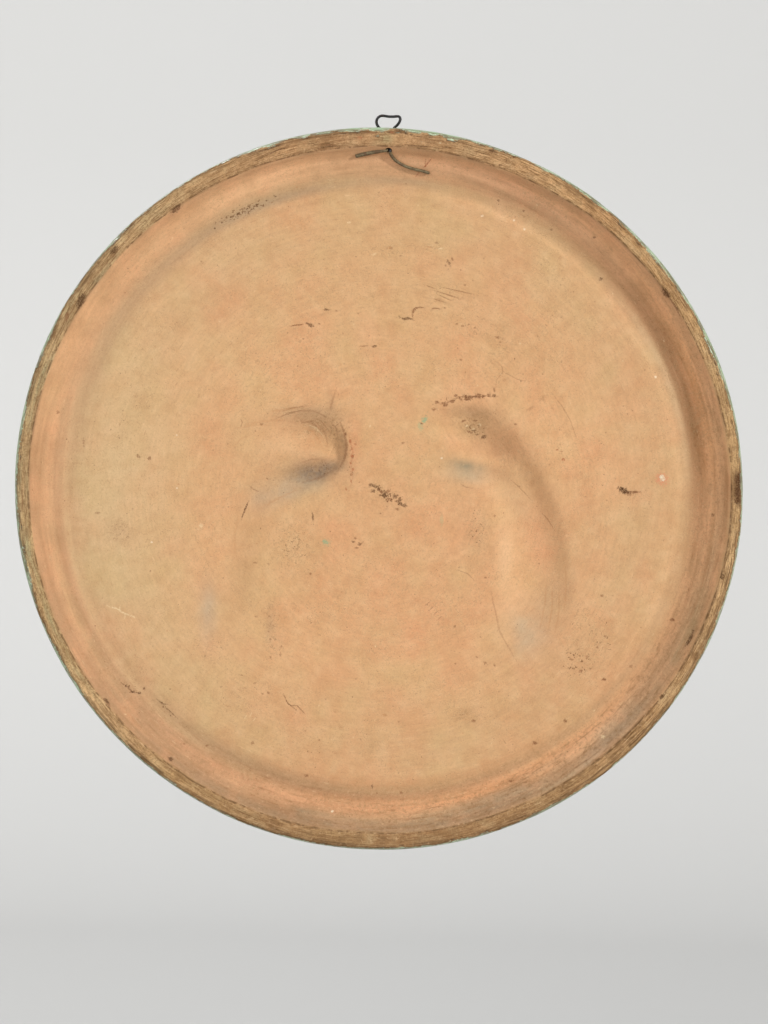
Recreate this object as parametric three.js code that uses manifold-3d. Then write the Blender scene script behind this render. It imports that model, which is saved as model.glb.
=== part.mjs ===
// Round terracotta wall plaque with a bent iron hanging wire. Millimetres, +Z up.
//
// The plaque hangs upright. Its front faces -Y and its back, with the foot ring that touches the
// wall, faces +Y. The origin is where a nail bears: inside the top of the wire loop.
//
// Shapes are worked out in back-view coordinates about the disc's centre:
//   u to the right as seen from the back (-X), v up (+Z), d forward from the foot plane (-Y).
import * as THREE from "three";
import { mergeVertices } from "three/addons/utils/BufferGeometryUtils.js";
import Module from "manifold-3d";

// ---- Driving sizes, mm ------------------------------------------------------------------------
const LONG_RADIUS = 211.2; // the disc is slightly out of round
const SHORT_RADIUS = 209.2;
const LONG_AXIS_DEG = -16.6; // direction of the long radius, from +u towards +v
const DROP = 215.6; // disc centre below the point where the nail bears
const FOOT_Y = 11; // foot plane behind the wire loop

const FOOT_OUTER = 207.2; // flat of the foot ring
const FOOT_INNER = 201.8;
const WALL_TOP = [200.4, 1.2]; // radius and depth just inside the foot ring
const WALL_BREAK = [193.2, 8.7]; // where the inner wall turns shallower
const WALL_FOOT = [183.2, 14.9];
const GROOVE = [178.2, 16.1]; // trimmed groove at the foot of the wall
const FIELD_EDGE = 166; // the field is level inside this radius
const FIELD_DEPTH = 15;
const INNER_SHIFT = [-0.7, -0.7]; // the trimmed inside sits a little off centre

const FRONT_FIELD = 24.4; // front ground, forward of the foot plane
const LIP_FRONT = 15.6;
const BEAD = [178.2, 27]; // raised ring round the relief

const WIRE_D = 1.6;
const STRAND_OFFSET = 1.0; // each strand's centre from the pierced hole's axis
const HOLE_D = 4.6;
const HOLE_AT = [0.65, 196.64]; // inner mouth of the pierced hole, u and v
const HOLE_SLOPE_DEG = 43; // the hole runs outwards and forwards at this angle
const HOLE_RUN = 14.4; // from the inner mouth to where the strands leave the hole

// Pressed hollows in the back: chains of [u, v, right-hand reach, left-hand reach, depth], right
// and left being those of someone walking along the chain.
const LEFT_HOLLOW = [
  [-85.9, 25.5, 8.1, 11.6, 0.2],
  [-69.7, 28.3, 9.3, 15.1, 1.5],
  [-54.7, 30.4, 9.9, 16.8, 3.5],
  [-41.3, 29.5, 9.9, 18.0, 5.0],
  [-31.9, 26.3, 9.3, 14.5, 5.9],
  [-26.6, 20.6, 8.7, 9.3, 6.1],
  [-29.3, 14.2, 8.1, 8.1, 5.5],
  [-38.5, 9.3, 8.1, 9.3, 4.3],
  [-51.1, 4.4, 9.3, 11.6, 2.9],
  [-66.6, -3.0, 10.4, 13.9, 1.8],
  [-76.7, -17.2, 12.8, 15.1, 1.5],
  [-81.4, -37.6, 15.1, 15.1, 1.5],
  [-82.5, -60.8, 15.1, 15.1, 1.1],
  [-79.8, -79.3, 15.1, 15.1, 0.1],
];
const RIGHT_HOLLOW = [
  [29.9, 38.3, 7.0, 9.3, 0.4],
  [39.7, 37.4, 10.4, 13.9, 2.6],
  [52.0, 33.0, 15.7, 19.1, 5.0],
  [64.4, 24.1, 19.1, 20.9, 6.0],
  [74.6, 12.1, 20.3, 20.9, 5.8],
  [81.9, -1.6, 20.3, 21.5, 5.5],
  [86.9, -17.1, 21.5, 22.0, 5.2],
  [89.7, -33.3, 22.0, 23.8, 4.9],
  [91.3, -51.8, 22.0, 25.5, 4.3],
  [90.6, -69.3, 22.0, 26.1, 3.2],
  [85.7, -85.6, 20.9, 24.9, 1.5],
  [77.4, -99.8, 17.4, 18.6, 0.1],
];
// How much of each reach is flat floor, on the right hand and on the left.
const LEFT_FLOOR = [0.1, 0.3];
const RIGHT_FLOOR = [0.5, 0.35];

// Front relief, x to the right as seen from the front. A pear is its calyx end [x, v], its stalk
// end [x, v], the radius of its bulb, and the height it stands proud.
const PEARS = [
  { base: [-69, -44], stalk: [-42, 66], bulb: 37, proud: 13 },
  { base: [43, -52], stalk: [28, 64], bulb: 39, proud: 13.5 },
];
// The pear's outline: [share of its length from the calyx, share of the bulb's radius].
const PEAR_OUTLINE = [
  [0, 0], [0.012, 0.2], [0.05, 0.52], [0.13, 0.8], [0.24, 0.96], [0.34, 1], [0.45, 0.94],
  [0.56, 0.78], [0.67, 0.6], [0.78, 0.5], [0.88, 0.44], [0.95, 0.32], [0.985, 0.16], [1, 0],
];
// A twig is a root, a bend, a tip and a radius.
const TWIGS = [
  [-43, 60, -36, 94, -8, 108, 3.6],
  [28, 58, 26, 92, 4, 108, 3.6],
  [-70, 134, -8, 94, 78, 120, 5.4],
];
// Leaves are a root, a bend and a tip, then the half width, the crest's height and the edge's.
const LEAVES = [
  [-34, 114, -80, 162, -128, 92, 19, 6.4, 3],
  [44, 112, 94, 150, 142, 64, 19, 6.4, 3],
  [-78, 44, -148, 18, -120, -80, 20, 7, 3],
  [66, 38, 140, 6, 114, -86, 20, 7, 3],
  [-70, -34, -104, -104, -38, -146, 19, 6.2, 3],
  [42, -44, 82, -114, 22, -150, 19, 6.2, 3],
  [-4, 92, -26, 20, -10, -72, 17, 5.6, 2.6],
];
const SINK = 1.5; // how far the relief's own solids reach into the plate

// Mesh density
const SECTORS = 72; // halved, and halved again, towards the middle
const BACK_HALVES = [54, 22];
const FRONT_HALVES = [150, 90];

// ---- Helpers ----------------------------------------------------------------------------------
const { PI, hypot, cos, sin, max, min } = Math;
const rad = (deg) => (deg * PI) / 180;
const clamp01 = (t) => max(0, min(1, t));
const smooth = (t) => t * t * (3 - 2 * t);

// Outline radius over its mean, at an angle from +u towards +v.
const MEAN_RADIUS = (LONG_RADIUS + SHORT_RADIUS) / 2;
function outOfRound(angle) {
  const a = angle - rad(LONG_AXIS_DEG);
  const r =
    (LONG_RADIUS * SHORT_RADIUS) /
    hypot(SHORT_RADIUS * cos(a), LONG_RADIUS * sin(a));
  return r / MEAN_RADIUS;
}

// Height along a list of [radius, depth] corners, with radius falling or rising.
function along(profile, r) {
  for (let i = 1; i < profile.length; i++) {
    const [r0, d0] = profile[i - 1];
    const [r1, d1] = profile[i];
    if (r <= r0 && r >= r1) return d0 + ((d1 - d0) * (r0 - r)) / (r0 - r1 || 1);
  }
  return r > profile[0][0] ? profile[0][1] : profile[profile.length - 1][1];
}

// Depth added by a pressed chain at (u, v): a floor that runs up smoothly on both sides.
function pressed(chain, floor, u, v) {
  let most = 0;
  for (let i = 1; i < chain.length; i++) {
    const [au, av, ar, al, ad] = chain[i - 1];
    const [bu, bv, br, bl, bd] = chain[i];
    const du = bu - au,
      dv = bv - av;
    const t = clamp01(((u - au) * du + (v - av) * dv) / (du * du + dv * dv));
    const nu = u - au - t * du,
      nv = v - av - t * dv;
    const left = du * nv - dv * nu > 0;
    const reach = left ? al + (bl - al) * t : ar + (br - ar) * t;
    const q = min(1, hypot(nu, nv) / reach);
    const flat = floor[left ? 1 : 0];
    const bowl = 1 - (1 - flat) * smooth(q) - flat * smooth(clamp01((q - 0.3) / 0.7));
    most = max(most, (ad + (bd - ad) * t) * bowl);
  }
  return most;
}

// ---- Back surface -----------------------------------------------------------------------------
const BACK = [
  [FOOT_OUTER, 0],
  [FOOT_INNER, 0],
  WALL_TOP,
  WALL_BREAK,
  WALL_FOOT,
  [WALL_FOOT[0] - 2.6, GROOVE[1] - 0.2],
  GROOVE,
  [GROOVE[0] - 4.7, GROOVE[1] - 0.6],
  [FIELD_EDGE, FIELD_DEPTH],
  [0, FIELD_DEPTH],
];
function backDepth(u, v) {
  const k = outOfRound(Math.atan2(v, u));
  const r = hypot(u - INNER_SHIFT[0], v - INNER_SHIFT[1]) / k;
  return (
    along(BACK, r) +
    max(pressed(LEFT_HOLLOW, LEFT_FLOOR, u, v), pressed(RIGHT_HOLLOW, RIGHT_FLOOR, u, v))
  );
}

// ---- Front surface ----------------------------------------------------------------------------
// The lip, the hollow moulding, the bead and the ground, from the rim inwards.
const FRONT = [
  [207.6, 13.6],
  [205.2, 15.1],
  [202.4, LIP_FRONT],
  [199.4, 15.0],
  [196.4, 14.8],
  [192.4, 16.6],
  [187.6, 20.4],
  [183.8, 23.6],
  [181.6, 25.8],
  BEAD,
  [175.0, 25.8],
  [173.2, FRONT_FIELD],
  [0, FRONT_FIELD + 0.6],
];
function frontDepth(u, v) {
  const k = outOfRound(Math.atan2(v, u));
  const r = hypot(u, v) / k;
  return along(FRONT, r);
}

// ---- The plaque's closed surface ----------------------------------------------------------------
// Ring radii from the back's centre outwards, round the edge, and back to the front's centre.
const BACK_RINGS = [
  8, 15, 22, 30, 38, 46, 54, 62, 70, 79, 88, 97, 108, 122, 142, FIELD_EDGE,
  GROOVE[0] - 4.7, GROOVE[0], WALL_FOOT[0] - 2.6, WALL_FOOT[0], WALL_BREAK[0],
  WALL_TOP[0], FOOT_INNER, FOOT_OUTER,
];
const EDGE_RINGS = [
  [209.3, 2.2],
  [210.2, 5.2],
  [210.1, 8.6],
  [209.2, 11.2],
];
const FRONT_RINGS = [
  207.6, 205.2, 202.4, 199.4, 196.4, 192.4, 187.6, 183.8, 181.6, BEAD[0], 175.0, 173.2,
  145, 85,
];
function plaqueGeometry() {
  const pos = [];
  const index = [];
  const put = (u, v, d) => {
    pos.push(-u, FOOT_Y - d, v - DROP);
    return pos.length / 3 - 1;
  };
  const count = (r, halves) => SECTORS / 2 ** halves.filter((at) => r < at).length;
  const ring = (r0, place, halves = BACK_HALVES) => {
    const n = count(r0, halves),
      out = [];
    for (let i = 0; i < n; i++) {
      const a = (2 * PI * i) / n;
      out.push(place(a, r0));
    }
    return out;
  };
  const rings = [];
  for (const r0 of BACK_RINGS)
    rings.push(
      ring(r0, (a) => {
        // Rings follow the trimmed inside's own centre, and the outline's centre at the foot.
        const r = r0 * outOfRound(a);
        const u = r * cos(a) + INNER_SHIFT[0],
          v = r * sin(a) + INNER_SHIFT[1];
        return r0 === FOOT_OUTER
          ? put(r * cos(a), r * sin(a), 0)
          : put(u, v, backDepth(u, v));
      }),
    );
  for (const [r0, d] of EDGE_RINGS)
    rings.push(
      ring(r0, (a) => {
        const r = r0 * outOfRound(a);
        return put(r * cos(a), r * sin(a), d);
      }),
    );
  for (const r0 of FRONT_RINGS)
    rings.push(
      ring(r0, (a) => {
        const r = r0 * outOfRound(a);
        const u = r * cos(a),
          v = r * sin(a);
        return put(u, v, frontDepth(u, v));
      }, FRONT_HALVES),
    );
  for (let k = 1; k < rings.length; k++) {
    const a = rings[k - 1],
      b = rings[k];
    const m = min(a.length, b.length);
    for (let i = 0; i < m; i++) {
      const j = (i + 1) % m;
      if (a.length === b.length) index.push(a[i], b[i], b[j], a[i], b[j], a[j]);
      else if (b.length > a.length)
        index.push(
          a[i], b[2 * i], b[2 * i + 1],
          a[i], b[2 * i + 1], a[j],
          a[j], b[2 * i + 1], b[(2 * i + 2) % b.length],
        );
      else
        index.push(
          a[2 * i], b[i], a[2 * i + 1],
          b[i], b[j], a[2 * i + 1],
          a[2 * i + 1], b[j], a[(2 * i + 2) % a.length],
        );
    }
  }
  const first = rings[0],
    last = rings[rings.length - 1];
  const backCentre = put(...INNER_SHIFT, backDepth(...INNER_SHIFT));
  const frontCentre = put(0, 0, frontDepth(0, 0));
  first.forEach((p, i) => index.push(backCentre, p, first[(i + 1) % first.length]));
  last.forEach((p, i) => index.push(frontCentre, last[(i + 1) % last.length], p));
  const g = new THREE.BufferGeometry();
  g.setAttribute("position", new THREE.Float32BufferAttribute(pos, 3));
  g.setIndex(index);
  return g;
}

// ---- The pierced hole ---------------------------------------------------------------------------
const point = (u, v, d) => new THREE.Vector3(-u, FOOT_Y - d, v - DROP);
const holeMouth = [...HOLE_AT, backDepth(...HOLE_AT)];
const holeStep = [0, cos(rad(HOLE_SLOPE_DEG)), sin(rad(HOLE_SLOPE_DEG))];
const inHole = (side, t) =>
  point(
    holeMouth[0] + side,
    holeMouth[1] + holeStep[1] * t,
    holeMouth[2] + holeStep[2] * t,
  );
function holeGeometry() {
  const a = inHole(0, -6),
    b = inHole(0, HOLE_RUN + 8);
  const g = new THREE.CylinderGeometry(HOLE_D / 2, HOLE_D / 2, a.distanceTo(b), 16);
  const m = new THREE.Matrix4().makeRotationFromQuaternion(
    new THREE.Quaternion().setFromUnitVectors(
      new THREE.Vector3(0, 1, 0),
      b.clone().sub(a).normalize(),
    ),
  );
  m.setPosition(a.add(b).multiplyScalar(0.5));
  return g.applyMatrix4(m);
}

const wasm = await Module();
wasm.setup();
function solid(geometry) {
  const g = geometry.clone();
  for (const name of ["normal", "uv"]) g.deleteAttribute(name);
  const merged = mergeVertices(g, 1e-4);
  return new wasm.Manifold(
    new wasm.Mesh({
      numProp: 3,
      vertProperties: merged.attributes.position.array,
      triVerts: new Uint32Array(merged.index.array),
    }),
  );
}
function geometryOf(made) {
  const m = made.getMesh();
  const g = new THREE.BufferGeometry();
  const p = new Float32Array((m.vertProperties.length / m.numProp) * 3);
  for (let i = 0; i < p.length / 3; i++)
    for (let c = 0; c < 3; c++) p[3 * i + c] = m.vertProperties[i * m.numProp + c];
  g.setAttribute("position", new THREE.BufferAttribute(p, 3));
  g.setIndex(new THREE.BufferAttribute(new Uint32Array(m.triVerts), 1));
  g.computeVertexNormals();
  return g;
}

// ---- The front relief ---------------------------------------------------------------------------
const frontPoint = (x, v, d) => new THREE.Vector3(x, FOOT_Y - d, v - DROP);
const bend = ([x0, v0, x1, v1, x2, v2], t) => {
  const s = 1 - t;
  const x = s * s * x0 + 2 * s * t * x1 + t * t * x2,
    v = s * s * v0 + 2 * s * t * v1 + t * t * v2;
  const dx = 2 * s * (x1 - x0) + 2 * t * (x2 - x1),
    dv = 2 * s * (v1 - v0) + 2 * t * (v2 - v1);
  const l = hypot(dx, dv);
  return { x, v, nx: -dv / l, nv: dx / l };
};
// A leaf: sections across its bent midline, with a grooved midrib between two crests.
function leafGeometry(list) {
  const [, , , , , , half, crest, edge] = list;
  const STEPS = 10;
  const across = [-1, -0.72, -0.34, 0, 0.34, 0.72, 1];
  const rise = [edge, crest * 0.92, crest, crest - 2.4, crest, crest * 0.92, edge];
  const pos = [];
  for (let i = 0; i <= STEPS; i++) {
    const t = i / STEPS,
      c = bend(list, t);
    const w = 1.6 + (half - 1.6) * sin(PI * t ** 0.85) ** 0.8;
    const lower = 0.7 + 0.3 * sin(PI * t);
    across.forEach((q, k) => {
      const p = frontPoint(c.x + q * w * c.nx, c.v + q * w * c.nv, FRONT_FIELD + rise[k] * lower);
      pos.push(p.x, p.y, p.z);
    });
    for (const q of [1, -1]) {
      const p = frontPoint(c.x + q * w * c.nx, c.v + q * w * c.nv, FRONT_FIELD - SINK);
      pos.push(p.x, p.y, p.z);
    }
  }
  const m = across.length + 2,
    index = [];
  for (let i = 0; i < STEPS; i++)
    for (let k = 0; k < m; k++) {
      const a = i * m + k,
        b = i * m + ((k + 1) % m);
      index.push(a, b + m, b, a, a + m, b + m);
    }
  for (let k = 1; k < m - 1; k++) {
    index.push(0, k, k + 1);
    index.push(STEPS * m, STEPS * m + k + 1, STEPS * m + k);
  }
  const g = new THREE.BufferGeometry();
  g.setAttribute("position", new THREE.Float32BufferAttribute(pos, 3));
  g.setIndex(index);
  return g;
}
// A pear: its outline turned about its own axis, then flattened towards the ground.
function pearGeometry({ base, stalk, bulb, proud }) {
  const length = hypot(stalk[0] - base[0], stalk[1] - base[1]);
  const g = new THREE.LatheGeometry(
    PEAR_OUTLINE.map(([l, r]) => new THREE.Vector2(r * bulb, l * length)),
    28,
  );
  g.scale(1, 1, proud / bulb);
  // Lathe axis along the pear, its flattened side along -Y.
  g.rotateX(PI / 2);
  g.rotateY(Math.atan2(stalk[0] - base[0], stalk[1] - base[1]));
  const at = frontPoint(base[0], base[1], FRONT_FIELD);
  g.translate(at.x, at.y, at.z);
  return g;
}
function twigGeometry(list) {
  const r = list[6];
  const section = new THREE.Shape();
  for (let i = 0; i < 10; i++) {
    const a = (2 * PI * i) / 10;
    if (i) section.lineTo(r * cos(a), r * sin(a));
    else section.moveTo(r, 0);
  }
  section.closePath();
  const path = new THREE.CatmullRomCurve3(
    [0, 0.2, 0.4, 0.6, 0.8, 1].map((t) => {
      const c = bend(list, t);
      return frontPoint(c.x, c.v, FRONT_FIELD + 1.2);
    }),
    false,
    "centripetal",
  );
  return new THREE.ExtrudeGeometry(section, { steps: 12, extrudePath: path, bevelEnabled: false });
}
// What the relief's solids keep of themselves: the part in front of the sunk plane.
function sunkBlock() {
  const g = new THREE.BoxGeometry(440, 60, 440);
  g.translate(0, FOOT_Y - (FRONT_FIELD - SINK) - 30, -DROP);
  return g;
}

// ---- The hanging wire ---------------------------------------------------------------------------
// A tail point lies over the inner wall, with its lift above the clay.
const over = (u, v, lift) => point(u, v, backDepth(u, v) - lift);
const wirePoints = [
  over(-18.3, 192.4, 1.8),
  over(-14, 193.5, 1.8),
  over(-9.4, 194.5, 1.9),
  over(-5, 195.2, 2.1),
  over(-2.2, 195.5, 2.3),
  inHole(-STRAND_OFFSET, -1.2),
  inHole(-STRAND_OFFSET, 1.2),
  inHole(-STRAND_OFFSET, 5),
  inHole(-STRAND_OFFSET, 9),
  inHole(-STRAND_OFFSET, 12.6),
  inHole(-STRAND_OFFSET, HOLE_RUN),
  point(-2.6, 208.5, 14.6),
  point(-4.8, 209.9, 13.6),
  point(-6.3, 211.6, 12.3),
  point(-6.75, 213.4, 11.4),
  point(-6.2, 215.2, 11),
  point(-4.9, 216.5, 11),
  point(-3.0, 216.85, 11),
  point(-1.0, 216.6, 11),
  point(0.9, 216.4, 11),
  point(3.4, 216.5, 11),
  point(5.6, 216.75, 11),
  point(6.8, 216.2, 11),
  point(7.1, 215.0, 11),
  point(6.5, 213.2, 11.3),
  point(4.9, 211.3, 12.4),
  point(3.3, 209.9, 13.6),
  point(2.2, 208.6, 14.5),
  inHole(STRAND_OFFSET, HOLE_RUN),
  inHole(STRAND_OFFSET, 12.6),
  inHole(STRAND_OFFSET, 9),
  inHole(STRAND_OFFSET, 5),
  inHole(STRAND_OFFSET, 1.2),
  inHole(STRAND_OFFSET, -1.2),
  over(2.2, 193.6, 2.6),
  over(4.9, 190.6, 2.1),
  over(8.8, 188.5, 1.9),
  over(13.1, 186.9, 1.8),
  over(18.0, 185.8, 1.7),
  over(21.8, 185.0, 1.7),
  over(24.8, 184.1, 1.7),
];
function wireGeometry() {
  const path = new THREE.CatmullRomCurve3(wirePoints, false, "centripetal");
  const section = new THREE.Shape();
  for (let i = 0; i < 8; i++) {
    const a = (2 * PI * i) / 8;
    const x = (WIRE_D / 2) * cos(a),
      y = (WIRE_D / 2) * sin(a);
    if (i) section.lineTo(x, y);
    else section.moveTo(x, y);
  }
  section.closePath();
  return new THREE.ExtrudeGeometry(section, {
    steps: 64,
    extrudePath: path,
    bevelEnabled: false,
  });
}

// ---- The part -----------------------------------------------------------------------------------
const clay = new THREE.MeshStandardMaterial({
  color: 0xd9aa7c,
  roughness: 0.85,
  metalness: 0,
});
const iron = new THREE.MeshStandardMaterial({
  color: 0x3b342d,
  roughness: 0.6,
  metalness: 0.8,
});

const inFront = solid(sunkBlock());
let body = solid(plaqueGeometry());
for (const list of LEAVES) body = body.add(solid(leafGeometry(list)));
for (const list of TWIGS) body = body.add(solid(twigGeometry(list)).intersect(inFront));
for (const pear of PEARS) body = body.add(solid(pearGeometry(pear)).intersect(inFront));
body = body.subtract(solid(holeGeometry()));

const plaque = new THREE.Mesh(geometryOf(body), clay);
plaque.name = "plaque";
const wire = new THREE.Mesh(wireGeometry(), iron);
wire.name = "hanging_wire";

const part = new THREE.Group();
part.name = "wall_plaque";
part.add(plaque, wire);
export default part;
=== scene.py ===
"""Looks of the round terracotta wall plaque and its iron hanging wire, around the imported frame.

Working coordinates are those of the part: u to the right as seen from the back (-X), v up from the
disc's centre (+Z), d forward from the foot plane (-Y), all in millimetres.
"""

import math

import bpy
import numpy as np
from mathutils import Matrix, Vector


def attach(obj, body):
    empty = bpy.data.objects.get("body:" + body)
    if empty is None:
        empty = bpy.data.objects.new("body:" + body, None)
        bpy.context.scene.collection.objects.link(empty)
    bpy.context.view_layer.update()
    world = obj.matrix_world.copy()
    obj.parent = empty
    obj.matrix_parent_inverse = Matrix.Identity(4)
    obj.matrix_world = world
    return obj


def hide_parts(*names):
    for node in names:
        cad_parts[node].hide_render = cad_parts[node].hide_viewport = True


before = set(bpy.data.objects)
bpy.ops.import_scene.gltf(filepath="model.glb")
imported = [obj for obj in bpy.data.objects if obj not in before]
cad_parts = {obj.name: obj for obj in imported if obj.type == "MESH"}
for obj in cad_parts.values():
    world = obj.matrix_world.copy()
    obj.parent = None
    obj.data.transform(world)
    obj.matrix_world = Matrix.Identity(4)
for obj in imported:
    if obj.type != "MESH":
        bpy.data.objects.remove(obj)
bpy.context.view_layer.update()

# ---- Sizes of the part, mm ----------------------------------------------------------------------
LONG_RADIUS, SHORT_RADIUS, LONG_AXIS = 211.2, 209.2, math.radians(-16.6)
MEAN_RADIUS = (LONG_RADIUS + SHORT_RADIUS) / 2
DROP, FOOT_Y = 215.6, 11.0
INNER_SHIFT = (-0.7, -0.7)
FRONT_FIELD = 24.4

BACK = [
    (0, 15), (166, 15), (173.5, 15.5), (178.2, 16.1), (180.6, 15.9), (183.2, 14.9),
    (193.2, 8.7), (200.4, 1.2), (201.8, 0), (207.2, 0), (216, 0),
]
# Round the outer edge, from the foot to the lip: radius and depth.
EDGE = [
    (207.2, 0), (208.1, 0.35), (208.9, 1.05), (209.5, 2.1), (209.95, 3.3), (210.2, 4.7),
    (210.25, 6.1), (210.2, 7.5), (210.1, 8.7), (209.75, 10.1), (209.25, 11.3),
    (208.5, 12.6), (207.6, 13.6),
]
FRONT = [
    (0, 25.0), (173.2, 24.4), (175.0, 25.8), (178.2, 27), (181.6, 25.8), (183.8, 23.6),
    (187.6, 20.4), (192.4, 16.6), (196.4, 14.8), (199.4, 15.0), (202.4, 15.6),
    (205.2, 15.1), (207.6, 13.6),
]
HOLE_D, HOLE_SLOPE, HOLE_RUN, STRAND_OFFSET = 4.6, math.radians(43), 14.4, 1.0
HOLE_AT = (0.65, 196.64)
WIRE_D = 1.6

# ---- Small helpers ------------------------------------------------------------------------------


def linear(hexcode):
    """A colour written as hex, as scene-linear numbers."""
    out = []
    for i in (1, 3, 5):
        c = int(hexcode[i : i + 2], 16) / 255
        out.append(c / 12.92 if c <= 0.04045 else ((c + 0.055) / 1.055) ** 2.4)
    return np.array(out)


def ramp01(x, a, b):
    """0 at a, 1 at b, smooth between; a may be more than b."""
    t = np.clip((x - a) / (b - a), 0, 1)
    return t * t * (3 - 2 * t)


def near(x, centre, half):
    """1 at centre, falling smoothly to 0 at half away."""
    t = np.clip(1 - np.abs(x - centre) / half, 0, 1)
    return t * t * (3 - 2 * t)


def lattice(i, j, seed):
    h = (i * 374761393 + j * 668265263 + seed * 974634777) & 0xFFFFFFFF
    h = ((h ^ (h >> 13)) * 1274126177) & 0xFFFFFFFF
    h = ((h ^ (h >> 15)) * 2246822519) & 0xFFFFFFFF
    return ((h ^ (h >> 16)) & 0xFFFFFF) / 0x7FFFFF - 1.0


def noise(x, y, seed, wrap=0):
    """Smooth noise from -1 to 1. With wrap, x repeats after that many cells."""
    i, j = np.floor(x).astype(np.int64), np.floor(y).astype(np.int64)
    fx, fy = x - i, y - j
    fx = fx**3 * (fx * (fx * 6 - 15) + 10)
    fy = fy**3 * (fy * (fy * 6 - 15) + 10)
    i2 = i + 1
    if wrap:
        i, i2 = i % wrap, i2 % wrap
    a, b = lattice(i, j, seed), lattice(i2, j, seed)
    c, d = lattice(i, j + 1, seed), lattice(i2, j + 1, seed)
    return (a + (b - a) * fx) * (1 - fy) + (c + (d - c) * fx) * fy


def layered(x, y, seed, octaves=3, wrap=0):
    total, size, most = 0.0, 1.0, 0.0
    for k in range(octaves):
        total = total + size * noise(x * 2**k, y * 2**k, seed + 31 * k, wrap * 2**k)
        most += size
        size *= 0.5
    return total / most


def soft_table(corners, sigma, step=0.1):
    """A corner list sampled finely with its corners rounded."""
    r = np.arange(corners[0][0], corners[-1][0] + step, step)
    d = np.interp(r, [c[0] for c in corners], [c[1] for c in corners])
    n = int(4 * sigma / step)
    kernel = np.exp(-0.5 * (np.arange(-n, n + 1) * step / sigma) ** 2)
    padded = np.concatenate([np.full(n, d[0]), d, np.full(n, d[-1])])
    return r, np.convolve(padded, kernel / kernel.sum(), "valid")


def out_of_round(a):
    t = a - LONG_AXIS
    return (
        LONG_RADIUS
        * SHORT_RADIUS
        / np.hypot(SHORT_RADIUS * np.cos(t), LONG_RADIUS * np.sin(t))
        / MEAN_RADIUS
    )


def place(u, v, d):
    return np.stack([-u, FOOT_Y - d, v - DROP], -1) * 0.001


# The rear view's own grid: 0.58 mm to a step, turned a little against the hanging plaque.
VIEW_STEP, VIEW_TURN, VIEW_CENTRE = 0.58, math.radians(1.432), (378.9, 488.7)


def seen(px, py):
    """u and v of a place in the rear view."""
    x, y = px - VIEW_CENTRE[0], VIEW_CENTRE[1] - py
    c, s = math.cos(VIEW_TURN), math.sin(VIEW_TURN)
    return VIEW_STEP * (x * c - y * s), VIEW_STEP * (x * s + y * c)


# ---- The back's shape ---------------------------------------------------------------------------
WIDE_TABLE = soft_table(BACK, 1.7)
TIGHT_TABLE = soft_table(BACK, 0.45)


def chain(points, steps=10):
    """A smooth run through the rows of points, with every column carried along."""
    p = np.array(points, float)
    p = np.vstack([2 * p[0] - p[1], p, 2 * p[-1] - p[-2]])
    out = []
    for i in range(1, len(p) - 2):
        for k in range(steps):
            t = k / steps
            a, b, c, d = p[i - 1], p[i], p[i + 1], p[i + 2]
            out.append(
                0.5
                * (
                    2 * b
                    + (c - a) * t
                    + (2 * a - 5 * b + 4 * c - d) * t * t
                    + (3 * b - a - 3 * c + d) * t**3
                )
            )
    out.append(p[-2])
    return np.array(out)


def follow(run, u, v):
    """For each place: the nearest place on a run, as its row of values, the distance, and the side
    from -1 (right when walking along) to 1 (left)."""
    best = np.full(u.shape, 1e9)
    rows = np.zeros(u.shape + (run.shape[1],))
    side = np.zeros(u.shape)
    for a, b in zip(run[:-1], run[1:]):
        du, dv = b[0] - a[0], b[1] - a[1]
        length = math.hypot(du, dv) or 1e-9
        t = np.clip(((u - a[0]) * du + (v - a[1]) * dv) / length**2, 0, 1)
        nu, nv = u - a[0] - t * du, v - a[1] - t * dv
        dist = np.hypot(nu, nv)
        closer = dist < best
        best = np.where(closer, dist, best)
        rows = np.where(closer[..., None], a + (b - a) * t[..., None], rows)
        s = (du * nv - dv * nu) / length / np.maximum(dist, 1e-6)
        side = np.where(closer, s, side)
    return rows, best, side


def pressed(points, u, v, floor=0.22, floor_easy=0.22):
    """Depth of a pressed hollow. Rows: u, v, right-hand reach, left-hand reach, depth. The floor
    shares are how much of the reach is flat, on the left hand and on the right."""
    run = chain(points)
    reach = max(max(p[2], p[3]) for p in points) + 2
    lo, hi = run[:, :2].min(0) - reach, run[:, :2].max(0) + reach
    out = np.zeros(u.shape)
    pick = (u > lo[0]) & (u < hi[0]) & (v > lo[1]) & (v < hi[1])
    if not pick.any():
        return out
    rows, dist, side = follow(run, u[pick], v[pick])
    w = 0.5 + 0.5 * np.sin(0.5 * math.pi * side)
    far = rows[:, 2] + (rows[:, 3] - rows[:, 2]) * w
    q = np.clip(dist / np.maximum(far, 1), 0, 1)
    flat = floor_easy + (floor - floor_easy) * w
    out[pick] = rows[:, 4] * (1 - ramp01(q, 0, 1) * (1 - flat) - flat * ramp01(q, 0.3, 1))
    return out


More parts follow.
